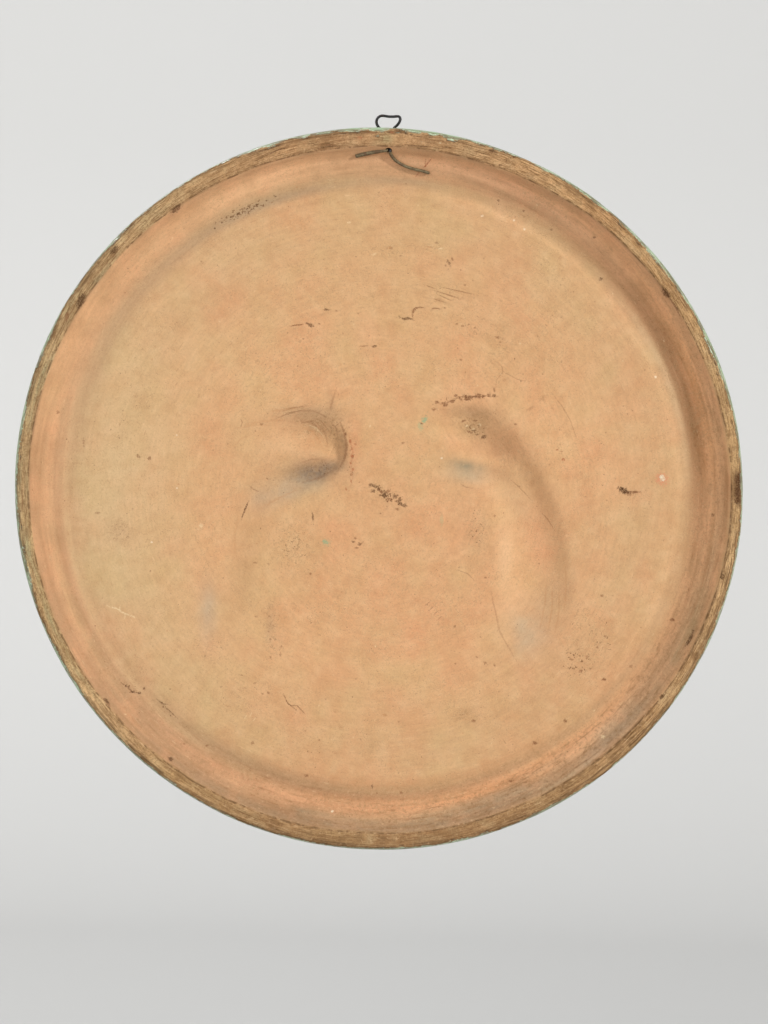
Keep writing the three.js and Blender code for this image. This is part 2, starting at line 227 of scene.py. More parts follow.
# The two pressed hollows, placed in the rear view: x, y, right-hand reach, left-hand reach and depth
# in mm. The steep side is on the left when walking along.
LEFT_HOLLOW = [
    (232, 441, 14, 20, 0.2), (260, 437, 16, 26, 1.5), (286, 434, 17, 29, 3.5),
    (309, 436, 17, 31, 5.0), (325, 442, 16, 25, 5.9), (334, 452, 15, 16, 6.1),
    (329, 463, 14, 14, 5.5), (313, 471, 14, 16, 4.3), (291, 479, 16, 20, 2.9),
    (264, 491, 18, 24, 1.8), (246, 515, 22, 26, 1.5), (237, 550, 26, 26, 1.5),
    (234, 590, 26, 26, 1.1), (238, 622, 26, 26, 0.1),
]
RIGHT_HOLLOW = [
    (432, 424, 12, 16, 0.4), (449, 426, 18, 24, 2.6), (470, 434, 27, 33, 5.0),
    (491, 450, 33, 36, 6.0), (508, 471, 35, 36, 5.8), (520, 495, 35, 37, 5.5),
    (528, 522, 37, 38, 5.2), (532, 550, 38, 41, 4.9), (534, 582, 38, 44, 4.3),
    (532, 612, 38, 45, 3.2), (523, 640, 36, 43, 1.5), (508, 664, 30, 32, 0.1),
]
# A shallow second fold under the right hollow's upper end.
SECOND_FOLD = [
    (446, 458, 9, 5, 0.2), (458, 462, 10, 5, 0.9), (474, 467, 11, 6, 1.1),
    (492, 474, 11, 7, 0.8), (508, 484, 10, 8, 0.1),
]


def in_mm(rows):
    out = []
    for row in rows:
        out.append(seen(*row[:2]) + (row[2] * VIEW_STEP, row[3] * VIEW_STEP, row[4]))
    return out


LEFT_HOLLOW, RIGHT_HOLLOW, SECOND_FOLD = map(in_mm, (LEFT_HOLLOW, RIGHT_HOLLOW, SECOND_FOLD))
# Low swellings and troughs of the field: u, v, half length, half width, direction in degrees, rise.
SWELLINGS = [
    (-56, 24, 9, 6, 20, 0.7),
    (52, 22, 9, 6, 10, 0.6),
    (58, -18, 26, 7, -62, 0.5),
    (0, 24, 22, 34, 90, -0.4),
    (8, -120, 70, 40, 0, 0.7),
    (-120, 30, 60, 34, 80, -0.35),
    (60, 120, 80, 30, -20, 0.4),
]


def swelling(u, v, row):
    cu, cv, long, wide, turn, rise = row
    c, s = math.cos(math.radians(turn)), math.sin(math.radians(turn))
    x, y = u - cu, v - cv
    q = ((x * c + y * s) / long) ** 2 + ((y * c - x * s) / wide) ** 2
    return rise * np.exp(-1.4 * q)


def rim_wave(a):
    """How far the foot ring's inner edge wanders, mm, round the rim. It is wider above and below."""
    x = a / (2 * math.pi)
    c = np.cos(a)
    return (
        1.9 * np.where(c > 0, 2 * c * c - 1, c * c - 1)
        + 0.5 * noise(x * 9 + 20, x * 0 + 0.5, 5, 9)
        + 0.45 * noise(x * 28 + 60, x * 0 + 0.5, 6, 28)
        + 0.25 * noise(x * 90 + 190, x * 0 + 0.5, 7, 90)
    )


def back_depth(u, v):
    a = np.arctan2(v, u)
    k = out_of_round(a)
    r_out = np.hypot(u, v) / k
    r_in = np.hypot(u - INNER_SHIFT[0], v - INNER_SHIFT[1]) / k
    r = r_in + (r_out - r_in) * ramp01(r_out, 204, 207)
    x = a / (2 * math.pi)
    edge = ramp01(r, 193.5, 199.5) * ramp01(r, 207.2, 204.5)
    rr = r - rim_wave(a) * edge
    tight = ramp01(rr, 198.5, 201)
    d = np.interp(rr, *WIDE_TABLE) * (1 - tight) + np.interp(rr, *TIGHT_TABLE) * tight
    # Trimming ridges on the foot ring, with torn places.
    ring = ramp01(rr, 200.2, 201.8)
    ridges = 0.55 * noise(x * 46 + 100, r / 1.55, 11, 46) + 0.45 * noise(
        x * 150 + 300, r / 1.1, 12, 150
    )
    torn = layered(x * 300 + 600, r / 4.4, 13, 2, 300)
    d = d + ring * (0.16 * ridges + 0.30 * np.clip(torn - 0.22, 0, 1))
    # Turning ridges on the wall and in the groove.
    wall = ramp01(r, 166, 176) * (1 - ring)
    d = d + wall * (
        0.10 * noise(x * 12 + 30, r / 3.4, 14, 12)
        + 0.05 * noise(x * 40 + 90, r / 1.7, 15, 40)
    )
    d = d + 0.16 * near(r, 186.5, 3.2) * (0.6 + 0.4 * noise(x * 7 + 9, x * 0, 16, 7))
    # The field: hand-smoothed, gently uneven.
    field = 1 - ramp01(r, 150, 172)
    d = d + (0.25 + 0.75 * field) * (
        0.34 * layered(u / 74 + 9, v / 74 + 4, 21, 2)
        + 0.10 * layered(u / 17 + 3, v / 21 + 8, 22, 2)
    )
    d = d + 0.035 * noise(x * 18 + 40, r / 5.2, 23, 18) * ramp01(r, 40, 90)
    for row in SWELLINGS:
        d = d - swelling(u, v, row)
    d = d + np.maximum(
        pressed(LEFT_HOLLOW, u, v, 0.3, 0.1), pressed(RIGHT_HOLLOW, u, v, 0.35, 0.5)
    )
    d = d + pressed(SECOND_FOLD, u, v)
    # Puckered clay inside the hollows.
    deep = np.exp(-(((u + 46) / 34) ** 2) - ((v - 22) / 22) ** 2) + np.exp(
        -(((u - 62) / 26) ** 2) - ((v - 26) / 18) ** 2
    )
    d = d + deep * 0.22 * layered(u / 9 + 1, v / 9 + 2, 24, 3)
    return d


# ---- The front's shape --------------------------------------------------------------------------
FRONT_TABLE = soft_table(FRONT, 0.9)
PEARS = [
    ((-69, -44), (-42, 66), 37, 13.0),
    ((43, -52), (28, 64), 39, 13.5),
]
PEAR_OUTLINE = [
    (0, 0), (0.012, 0.2), (0.05, 0.52), (0.13, 0.8), (0.24, 0.96), (0.34, 1), (0.45, 0.94),
    (0.56, 0.78), (0.67, 0.6), (0.78, 0.5), (0.88, 0.44), (0.95, 0.32), (0.985, 0.16), (1, 0),
]
TWIGS = [
    (-43, 60, -36, 94, -8, 108, 3.6),
    (28, 58, 26, 92, 4, 108, 3.6),
    (-70, 134, -8, 94, 78, 120, 5.4),
]
LEAVES = [
    (-34, 114, -80, 162, -128, 92, 19, 6.4, 3),
    (44, 112, 94, 150, 142, 64, 19, 6.4, 3),
    (-78, 44, -148, 18, -120, -80, 20, 7, 3),
    (66, 38, 140, 6, 114, -86, 20, 7, 3),
    (-70, -34, -104, -104, -38, -146, 19, 6.2, 3),
    (42, -44, 82, -114, 22, -150, 19, 6.2, 3),
    (-4, 92, -26, 20, -10, -72, 17, 5.6, 2.6),
]


def fuse(a, b, k):
    """The higher of two, with the inner corner filled in."""
    return np.maximum(a, b) + np.clip(k - np.abs(a - b), 0, None) ** 2 / (4 * k)


def bend(row, t):
    x0, v0, x1, v1, x2, v2 = row[:6]
    s = 1 - t
    return s * s * x0 + 2 * s * t * x1 + t * t * x2, s * s * v0 + 2 * s * t * v1 + t * t * v2


def bend_run(row, steps=70):
    t = np.linspace(0, 1, steps + 1)
    x, v = bend(row, t)
    length = np.concatenate([[0], np.cumsum(np.hypot(np.diff(x), np.diff(v)))])
    return np.stack([x, v, t, length], -1)


def near_run(row, x, v, margin):
    run = bend_run(row)
    lo, hi = run[:, :2].min(0) - margin, run[:, :2].max(0) + margin
    pick = (x > lo[0]) & (x < hi[0]) & (v > lo[1]) & (v < hi[1])
    rows, dist, side = follow(run, x[pick], v[pick])
    return pick, rows, dist, side


def leaf_rise(row, x, v):
    half, crest, edge = row[6:]
    out = np.full(x.shape, -4.0)
    pick, rows, dist, side = near_run(row, x, v, half + 6)
    t, run = rows[:, 2], rows[:, 3]
    w = 1.6 + (half - 1.6) * np.clip(np.sin(math.pi * t**0.85), 0, 1) ** 0.8
    teeth = np.abs(((run / 10.5) % 1) - 0.32)
    w = w * (1 + 0.12 * (0.5 - teeth) * ramp01(t, 0.1, 0.25) * ramp01(t, 0.98, 0.86))
    q = dist / w
    table = [(0, crest - 2.4), (0.07, crest - 1.9), (0.16, crest - 0.4), (0.34, crest),
             (0.72, crest * 0.92), (0.9, crest * 0.72), (1, edge)]
    rise = np.interp(np.clip(q, 0, 1), [p[0] for p in table], [p[1] for p in table])
    rise = rise * (0.7 + 0.3 * np.sin(math.pi * t))
    # Side veins run forward from the midrib.
    vein = (run - dist * 0.9) / 12.0 + 0.25 * (side > 0)
    groove = np.exp(-(((vein % 1) - 0.5) / 0.17) ** 2)
    rise = rise - 1.0 * groove * ramp01(q, 0.06, 0.3) * ramp01(q, 1.0, 0.75)
    rise = np.where(q > 1, rise - (dist - w) * 2.2, rise)
    out[pick] = np.maximum(rise, -4)
    return out


def pear_rise(pear, x, v):
    (bx, bv), (sx, sv), bulb, proud = pear
    length = math.hypot(sx - bx, sv - bv)
    ax, av = (sx - bx) / length, (sv - bv) / length
    l = ((x - bx) * ax + (v - bv) * av) / length
    w = (x - bx) * av - (v - bv) * ax
    r = np.interp(l, [p[0] for p in PEAR_OUTLINE], [p[1] for p in PEAR_OUTLINE]) * bulb
    for step in (-0.02, 0.02):
        r = r + np.interp(
            l + step, [p[0] for p in PEAR_OUTLINE], [p[1] for p in PEAR_OUTLINE]
        ) * bulb
    r = r / 3
    inside = proud / bulb * np.sqrt(np.clip(r * r - w * w, 0, None))
    outside = -1.6 * np.clip(np.abs(w) - r, 0, None) - 1.6 * length * (
        np.clip(-l, 0, None) + np.clip(l - 1, 0, None)
    )
    rise = np.where(np.abs(w) < r, inside, outside)
    # The dried flower at the blossom end, and a shallow crease beside it.
    x0, v0 = bx + ax * 6, bv + av * 6
    dist = np.hypot(x - x0, v - v0)
    turn = np.arctan2(v - v0, x - x0)
    star = 1.5 * np.exp(-(((dist - 3.2) / 1.7) ** 2)) * (0.65 + 0.35 * np.cos(5 * turn))
    rise = rise + (star - 1.1 * np.exp(-((dist / 1.6) ** 2))) * (rise > 0.5)
    return np.maximum(rise, -4)


def twig_rise(row, x, v):
    out = np.full(x.shape, -4.0)
    pick, rows, dist, side = near_run(row, x, v, row[6] + 5)
    r = row[6] * (1 + 0.10 * noise(rows[:, 3] / 9, rows[:, 3] * 0, 41))
    lump = 0.35 * noise(rows[:, 3] / 9 + 7, side * dist / 3 + 20, 42)
    rise = np.where(
        dist < r,
        1.2 + np.sqrt(np.clip(r * r - dist * dist, 0, None)) + lump,
        1.2 - (dist - r) * 2.0,
    )
    out[pick] = np.maximum(rise, -4)
    return out


def front_depth(u, v):
    """Depth of the front surface, forward of the foot plane."""
    a = np.arctan2(v, u)
    r = np.hypot(u, v) / out_of_round(a)
    ground = np.interp(r, *FRONT_TABLE)
    x = -u
    leaves = np.full(x.shape, -4.0)
    for row in LEAVES:
        leaves = fuse(leaves, leaf_rise(row, x, v), 0.7)
    rise = leaves
    for row in TWIGS:
        rise = fuse(rise, twig_rise(row, x, v), 0.9)
    for pear in PEARS:
        rise = fuse(rise, pear_rise(pear, x, v), 0.9)
    t = a / (2 * math.pi)
    uneven = 0.12 * layered(u / 26 + 3, v / 26 + 5, 43, 2) + 0.05 * noise(
        t * 60 + 90, r / 9, 44, 60
    )
    inner = ramp01(r, 176, 171)
    return fuse(ground, FRONT_FIELD + rise - 6 * (1 - inner), 1.6) + uneven * ramp01(
        r, 208, 200
    )


# ---- One closed surface -------------------------------------------------------------------------
def steps(a, b, size):
    n = max(1, round(abs(b - a) / size))
    return [a + (b - a) * i / n for i in range(n)]


def sector_count(r, halves, most=1024):
    return most >> sum(r < at for at in halves)


BACK_HALVES = (166, 118, 56, 27, 13)
FRONT_HALVES = (100, 50, 25, 12)


def plaque_surface():
    """Vertices (mm, as u, v, d) and faces of the plaque without its hole."""
    pos, faces, rings = [], [], []

    def ring(n, put):
        a = 2 * math.pi * np.arange(n) / n
        first = sum(len(p) for p in pos)
        pos.append(np.stack(put(a), -1))
        rings.append(np.arange(first, first + n))

    inside = (
        steps(2.5, 13, 2.6) + steps(13, 27, 2.5) + steps(27, 56, 2.6) + steps(56, 118, 2.6)
        + steps(118, 166, 2.5) + steps(166, 181, 1.3) + steps(181, 200.2, 1.25)
        + steps(200.2, 207.2, 0.72) + [207.2]
    )
    for r0 in inside:
        share = float(ramp01(np.array(r0), 207, 203.5))

        def put(a, r0=r0, share=share):
            r = r0 * out_of_round(a)
            u = r * np.cos(a) + INNER_SHIFT[0] * share
            v = r * np.sin(a) + INNER_SHIFT[1] * share
            return u, v, back_depth(u, v)

        ring(sector_count(r0, BACK_HALVES), put)

    foot_u = 207.2 * np.cos(0.0)
    for i, (r0, d0) in enumerate(EDGE[1:]):

        def put(a, r0=r0, d0=d0, i=i):
            x = a / (2 * math.pi)
            k = out_of_round(a)
            u, v = 207.2 * k * np.cos(a), 207.2 * k * np.sin(a)
            carry = (back_depth(u, v)) * max(0, 1 - d0 / 3)
            # Knocks along the edge and thick places in the glaze.
            knock = np.clip(layered(x * 170 + 340, x * 0 + d0 / 9, 51, 2, 170) - 0.28, 0, 1)
            lump = noise(x * 64 + 128, x * 0 + d0 / 4, 52, 64)
            r = (r0 - 1.5 * knock * near(np.array(d0), 1.4, 4.5) + 0.12 * lump - 0.1) * k
            return r * np.cos(a), r * np.sin(a), d0 + carry + 0.7 * knock * max(0, 1 - d0 / 3)

        ring(1024 if i < 6 else 512, put)
    front = (
        steps(205.6, 196.4, 2.0) + steps(196.4, 183.8, 2.1) + steps(183.8, 173.2, 1.35)
    )
    for r0 in front:

        def put(a, r0=r0):
            r = r0 * out_of_round(a)
            return r * np.cos(a), r * np.sin(a), front_depth(r * np.cos(a), r * np.sin(a))

        ring(256, put)
    for r0 in steps(173.2, 2.5, 2.45) + [2.5]:

        def put(a, r0=r0):
            r = r0 * out_of_round(a)
            return r * np.cos(a), r * np.sin(a), front_depth(r * np.cos(a), r * np.sin(a))

        ring(sector_count(r0, FRONT_HALVES, 512), put)

    for a, b in zip(rings[:-1], rings[1:]):
        i = np.arange(min(len(a), len(b)))
        if len(a) == len(b):
            faces += np.stack([a, b, np.roll(b, -1), np.roll(a, -1)], -1).tolist()
            continue
        grow = len(b) > len(a)
        few, many = (a, b) if grow else (b, a)
        ratio = len(many) // len(few)
        if ratio != 2:
            raise ValueError("rings double or halve")
        m0, m1, m2 = many[2 * i], many[2 * i + 1], many[(2 * i + 2) % len(many)]
        f0, f1 = few, np.roll(few, -1)
        for tri in ((f0, m0, m1), (f0, m1, f1), (f1, m1, m2)):
            tri = np.stack(tri, -1)
            faces += (tri if grow else tri[:, ::-1]).tolist()
    pos = np.concatenate(pos)
    # The two centres.
    extra = []
    for ring_ids, depth, back in ((rings[0], back_depth, True), (rings[-1], front_depth, False)):
        centre = np.array([INNER_SHIFT if back else (0.0, 0.0)])
        d = depth(centre[:, 0], centre[:, 1])[0]
        extra.append((centre[0, 0], centre[0, 1], d))
        c = len(pos) + len(extra) - 1
        nxt = np.roll(ring_ids, -1)
        c_all = np.full(len(ring_ids), c)
        order = (c_all, ring_ids, nxt) if back else (c_all, nxt, ring_ids)
        faces += np.stack(order, -1).tolist()
    return np.vstack([pos, np.array(extra)]), faces


def mesh_object(name, points, faces):
    mesh = bpy.data.meshes.new(name)
    mesh.from_pydata(points.tolist(), [], faces)
    mesh.validate()
    mesh.update()
    mesh.shade_smooth()
    obj = bpy.data.objects.new(name, mesh)
    bpy.context.scene.collection.objects.link(obj)
    return obj


def cad_back(u, v):
    """The plain back of the frame, which the wire follows."""
    k = out_of_round(np.arctan2(v, u))
    r = np.hypot(u - INNER_SHIFT[0], v - INNER_SHIFT[1]) / k
    return float(np.interp(r, [c[0] for c in BACK], [c[1] for c in BACK]))


hole_mouth = np.array([HOLE_AT[0], HOLE_AT[1], cad_back(*HOLE_AT)])
hole_step = np.array([0, math.cos(HOLE_SLOPE), math.sin(HOLE_SLOPE)])


def hole_cutter():
    """A slightly ragged rod along the pierced hole."""
    rows, sides = 26, 28
    across = np.cross(hole_step, [1.0, 0, 0])
    pts, faces = [], []
    for i in range(rows + 1):
        t = -7 + (HOLE_RUN + 15) * i / rows
        for j in range(sides):
            a = 2 * math.pi * j / sides
            r = 2.02 * (1 + 0.06 * float(noise(np.array(j / 4.0), np.array(t / 2.2), 61, 7)))
            p = hole_mouth + hole_step * t + (
                np.array([1.0, 0, 0]) * math.cos(a) + across * math.sin(a)
            ) * r
            pts.append(p)
    for i in range(rows):
        for j in range(sides):
            k = (j + 1) % sides
            faces.append((i * sides + j, i * sides + k, (i + 1) * sides + k, (i + 1) * sides + j))
    faces.append(tuple(range(sides))[::-1])
    faces.append(tuple(rows * sides + j for j in range(sides)))
    pts = np.array(pts)
    return mesh_object("cutter", place(pts[:, 0], pts[:, 1], pts[:, 2]), faces)


def facing_out(obj):
    """Turns a closed mesh's faces outwards."""
    mesh = obj.data
    n = len(mesh.vertices)
    co = np.empty(n * 3)
    mesh.vertices.foreach_get("co", co)
    co = co.reshape(-1, 3)
    mesh.calc_loop_triangles()
    tri = np.empty(len(mesh.loop_triangles) * 3, np.int32)
    mesh.loop_triangles.foreach_get("vertices", tri)
    a, b, c = (co[tri.reshape(-1, 3)[:, k]] for k in range(3))
    if np.einsum("ij,ij->i", a, np.cross(b, c)).sum() < 0:
        mesh.flip_normals()


points, faces = plaque_surface()
plaque = mesh_object("plaque_body", place(points[:, 0], points[:, 1], points[:, 2]), faces)
facing_out(plaque)
cutter = hole_cutter()
facing_out(cutter)
cut = plaque.modifiers.new("hole", "BOOLEAN")
cut.operation = "DIFFERENCE"
cut.solver = "MANIFOLD"
cut.object = cutter
bpy.context.view_layer.update()
made = bpy.data.meshes.new_from_object(
    plaque.evaluated_get(bpy.context.evaluated_depsgraph_get())
)
plaque.modifiers.clear()
plaque.data = made
made.name = "plaque_body"
made.shade_smooth()
bpy.data.objects.remove(cutter)

co = np.empty(len(made.vertices) * 3)
made.vertices.foreach_get("co", co)
co = co.reshape(-1, 3) * 1000
U, V, D = -co[:, 0], co[:, 2] + DROP, FOOT_Y - co[:, 1]
ANGLE = np.arctan2(V, U)
TURN = ANGLE / (2 * math.pi)
K = out_of_round(ANGLE)
R = np.hypot(U, V) / K
R_IN = np.hypot(U - INNER_SHIFT[0], V - INNER_SHIFT[1]) / K

# ---- Where the glaze ends -----------------------------------------------------------------------
# Distance round the edge from the foot's outer corner, positive towards the front.
EDGE_RUN = [(190, 0.0)] + EDGE + [(205.2, 15.1), (190, 18)]


def round_the_edge(r, d):
    best, out = np.full(r.shape, 1e9), np.zeros(r.shape)
    start = -(EDGE[0][0] - 190)
    for (r0, d0), (r1, d1) in zip(EDGE_RUN[:-1], EDGE_RUN[1:]):
        length = math.hypot(r1 - r0, d1 - d0)
        t = np.clip(((r - r0) * (r1 - r0) + (d - d0) * (d1 - d0)) / length**2, 0, 1)
        dist = np.hypot(r - r0 - t * (r1 - r0), d - d0 - t * (d1 - d0))
        closer = dist < best
        best = np.where(closer, dist, best)
        out = np.where(closer, start + t * length, out)
        start += length
    return out


# How wide the glaze shows from the back, by direction (degrees from u towards v): steps of 0.58 mm.
SHOWS = [
    (-180, 2.0), (-165, 2.2), (-150, 1.4), (-130, 0.8), (-115, 0.8), (-100, 1.2), (-85, 1.2),
    (-70, 1.1), (-55, 0.8), (-40, 0.5), (-25, 0.7), (-10, 1.2), (0, 2.0), (12, 1.6),
    (25, 2.1), (40, 2.1), (50, 1.7), (62, 1.3), (72, 1.5), (80, 2.5), (86, 2.1), (92, 1.9),
    (102, 1.8), (112, 1.6), (122, 1.1), (135, 0.8), (150, 1.1), (165, 1.6), (180, 2.0),
]
shows = np.interp(np.degrees(ANGLE), [s[0] for s in SHOWS], [s[1] for s in SHOWS])
shows = (1.3 * shows + 1.1) * (1 + 0.4 * noise(TURN * 70 + 140, TURN * 0, 71, 70)) * 0.58
edge_r = np.array([p[0] for p in EDGE[:7]])
edge_run = np.concatenate(
    [[0], np.cumsum(np.hypot(np.diff(edge_r), np.diff([p[1] for p in EDGE[:7]])))]
)
glaze_starts = np.interp(210.25 - shows, edge_r, edge_run)
ragged = np.clip(layered(TURN * 150 + 300, TURN * 0, 72, 3, 150) - 0.1, 0, 1)
ragged = ragged + 0.5 * np.clip(layered(TURN * 420 + 840, TURN * 0, 73, 2, 420) - 0.2, 0, 1)
top = near(np.abs((np.degrees(ANGLE) - 94 + 180) % 360 - 180), 0, 48)
glaze_starts = glaze_starts + ragged * (2.4 + 2.2 * top)
# Runs of glaze over the foot ring: direction, half width in degrees, how far in mm.
for at, half, far in (
    (91.6, 1.6, 3.6), (88.4, 2.0, -4.2), (80.0, 2.4, 2.6), (72.5, 1.2, 1.4), (98.0, 1.6, -1.6),
    (109.0, 2.0, 1.5), (64.0, 1.4, 1.6), (148.0, 1.5, 1.2), (171.0, 2.5, 1.4), (-146, 2.2, 1.4),
    (-84.0, 2.0, 1.3), (3.0, 2.0, 1.0),
):
    gap = np.abs((np.degrees(ANGLE) - at + 180) % 360 - 180)
    glaze_starts = glaze_starts - far * near(gap, 0, half) * (
        0.6 + 0.8 * noise(TURN * 330 + 660, R / 2.2, 74, 330)
    )
mid_depth = (np.interp(R, *WIDE_TABLE) + np.interp(R, *FRONT_TABLE)) / 2
is_front = D > np.where(R < 150, 22.9, mid_depth)
GLAZE = np.where(R > 195, round_the_edge(R, D) - glaze_starts, np.where(is_front, 9.0, -9.0))
# Inside the pierced hole there is no glaze.
rel = np.stack([U, V, D], -1) - hole_mouth
along_hole = rel @ hole_step
off_hole = np.linalg.norm(rel - along_hole[:, None] * hole_step, axis=1)
in_hole = (off_hole < 2.5) & (along_hole > 0.3) & (along_hole < HOLE_RUN - 0.4)
GLAZE = np.where(in_hole, -9.0, GLAZE)
GLAZE = np.clip(GLAZE, -9, 9)

# ---- Colours of the clay ------------------------------------------------------------------------
LIT = 1.07  # how much the field is lit in the main view; seen colours are divided by it


def clay(hexcode):
    return linear(hexcode) / LIT


def blob(px, py, rx, ry, turn=0.0, power=1.3):
    """1 at a place in the rear view, fading over an ellipse. Reaches and turn in view steps."""
    cu, cv = seen(px, py)
    c, s = math.cos(math.radians(turn)), math.sin(math.radians(turn))
    x, y = (U - cu) / VIEW_STEP, (V - cv) / VIEW_STEP
    q = ((x * c + y * s) / rx) ** 2 + ((y * c - x * s) / ry) ** 2
    return np.exp(-power * q)


back = ~is_front | (GLAZE < 0)
tone = np.tile(clay("#dcab7c"), (len(U), 1))


def blend(target, share):
    global tone
    share = np.clip(share, 0, 1)[:, None]
    tone = tone * (1 - share) + clay(target) * share


wide_a = layered(U / 60 + 5, V / 60 + 2, 81, 3)
wide_b = layered(U / 24 + 9, V / 24 + 7, 82, 3)
sweep = layered(TURN * 14 + 28, R_IN / 13, 83, 3, 14)

# Broad tones of the field.
left_side = np.exp(-(((R_IN - 158) / 42) ** 2)) * near(np.abs(np.abs(np.degrees(ANGLE)) - 180), 0, 75)
blend("#dbba8d", 0.95 * left_side)
blend("#dcb386", 0.50 * blob(215, 250, 80, 60, 35))
blend("#dda478", 0.60 * blob(430, 600, 120, 110, 0))
blend("#dba87c", 0.45 * blob(330, 330, 120, 70, 0))
blend("#deb082", 0.55 * blob(620, 470, 46, 190, 0))
blend("#dca67a", 0.45 * blob(560, 700, 80, 50, 40))
blend("#e0ad80", 0.22 + 0.30 * wide_a)
blend("#cf9a6e", 0.10 * np.clip(wide_b, 0, 1) + 0.10 * np.clip(sweep, 0, 1))

# Warmer and yellower patches, large and small.
patch_a = layered(U / 24 + 2, V / 27 + 6, 88, 3)
patch_b = layered(U / 11 + 8, V / 12 + 1, 89, 2)
patch_c = layered(U / 5.5 + 5, V / 5 + 9, 90, 2)
blend("#e09b70", 0.40 * np.clip(patch_a, 0, 1) + 0.22 * np.clip(patch_b, 0, 1))
blend("#d6b380", 0.50 * np.clip(-patch_a, 0, 1) + 0.28 * np.clip(-patch_b, 0, 1))
blend("#ecc296", 0.25 * np.clip(patch_c, 0, 1))
blend("#c7966a", 0.25 * np.clip(-patch_c, 0, 1))
patch_d = layered(U / 3.0 + 7, V / 2.8 + 3, 95, 2)
blend("#efc79b", 0.18 * np.clip(patch_d, 0, 1))
blend("#c08f64", 0.18 * np.clip(-patch_d, 0, 1))

# Tones over the left hollow: painted shade on its steep upper and right-hand sides, a painted highlight on its bulge,
# and grey and reddish stains.
fold = layered(U / 7 + 3, V / 7 + 5, 87, 3)
blend("#cba076", 0.45 * blob(276, 458, 70, 50, 0, 1.6))
# This and the next two: painted shade on the hollow's steep upper side.
blend("#b08a68", 0.50 * blob(318, 415, 26, 9, 0))
blend("#bd8f66", 0.50 * blob(322, 434, 18, 17, 0) * (1 + 0.5 * fold))
blend("#b58a64", 0.24 * blob(309, 425, 25, 9, 8) * (1 + 0.8 * fold))
blend("#a99f8b", 0.70 * blob(291, 487, 36, 12.5, 19) * (0.9 + 0.8 * fold))
blend("#8a7663", 0.86 * blob(317, 471, 27, 11.5, 8) * (0.95 + 0.9 * fold))
blend("#7a6a58", 0.40 * blob(326, 468, 12, 8, 10) * (0.9 + 0.9 * fold))
blend("#c3986f", 0.40 * blob(236, 572, 20, 62, 0) * (0.9 + 0.5 * fold))
blend("#c4a583", 0.40 * blob(262, 500, 18, 16, 40))
blend("#d98f66", 0.50 * blob(354, 443, 7, 28, -2))
# Painted shade: a dark line where the steep right-hand edge drops away.
blend("#946d4e", 0.36 * blob(343.5, 440, 2.6, 22, 4))
# Painted highlight on the bulge that faces the key light.
blend("#e6bb8e", 0.50 * blob(283, 446, 24, 9, 8))
# This and the next: painted shade along the top of the steep side.
blend("#bf9872", 0.55 * blob(305, 413, 32, 9, 6) * (1 + 0.5 * fold))
blend("#a87f5e", 0.45 * blob(331, 401, 3.4, 14, 12))
blend("#b0aa9c", 0.45 * blob(207, 612, 9, 30, 0) * (0.9 + 0.5 * fold))
blend("#b8916f", 0.45 * blob(269.5, 625, 4, 19, -6))
blend("#c79c74", 0.14 * blob(292, 546, 24, 26, 0) * (1 + 0.8 * fold))
# Tones over the right hollow: painted shade on its steep upper and outer sides, painted highlights on slopes that
# face the key light, and grey, pale and crackled stains.
# Painted shade along the hollow's upper rim.
blend("#b08b66", 0.60 * blob(475, 412, 28, 8, -4))
blend("#a98660", 0.65 * blob(476, 427, 14, 11, 0) * (0.9 + 0.7 * fold))
blend("#b8a88c", 0.60 * blob(470, 475, 25, 9, -6))
blend("#94886f", 0.78 * blob(469, 466, 23, 6, -8) * (0.9 + 0.6 * fold))
# This and the next: painted shade on the steep upper side.
blend("#b98a62", 0.45 * blob(500, 437, 26, 13, -42))
blend("#ae7f5a", 0.42 * blob(494, 446, 22, 10, -42) * (0.95 + 0.6 * fold))
# Painted shade on the slope below the upper end.
blend("#c8966e", 0.45 * blob(474, 447, 20, 11, -12) * (0.95 + 0.5 * fold))
# This and the next: painted shade on the steep outer side.
blend("#c2906a", 0.38 * blob(566, 590, 11, 40, 4) * (0.95 + 0.5 * fold))
blend("#c4946a", 0.35 * blob(547, 500, 11, 46, 22))
# Painted highlight on the hollow's left-hand slope, which faces the key light.
blend("#e9bd92", 0.55 * blob(506, 556, 9, 44, 3))
# Painted highlight on the small bump below the upper end.
blend("#dfa97f", 0.30 * blob(452, 443, 12, 8, 8))
blend("#c09068", 0.50 * blob(505, 475, 18, 6, -35))
blend("#dd9f74", 0.45 * blob(540, 545, 14, 50, 12))
blend("#bb9873", 0.40 * blob(548, 600, 12, 24, -8))
blend("#c6ad8d", 0.68 * blob(528, 632, 26, 30, 18) * (0.9 + 0.7 * fold))
blend("#c6a07a", 0.40 * blob(516, 500, 10, 26, 30))
# Smudges elsewhere.
blend("#c99f78", 0.40 * blob(119, 532, 15, 12, 0) * (1 + 0.8 * fold))
blend("#c49468", 0.50 * blob(465, 715, 13, 9, 0) * (1 + 0.6 * fold))
blend("#c8946a", 0.30 * blob(368, 742, 14, 10, 0))
blend("#cd9d70", 0.35 * blob(165, 320, 24, 14, 0))
blend("#cb9a70", 0.40 * blob(595, 479, 13, 4, -10))
blend("#c9a27a", 0.22 * blob(478, 533, 14, 22, 0) * (1 + 0.8 * fold))

# The groove and the wall, by distance from the centre and direction.
deg = np.degrees(ANGLE)


def darker(amounts, share):
    """Takes up to these parts of red, green and blue away."""
    global tone
    tone = tone * (1 - np.clip(share, 0, 1)[:, None] * np.array(amounts))


def turned(centre, half):
    """1 in a direction, fading to 0 at half degrees away."""
    gap = np.abs((deg - centre + 180) % 360 - 180)
    return near(gap, 0, half)


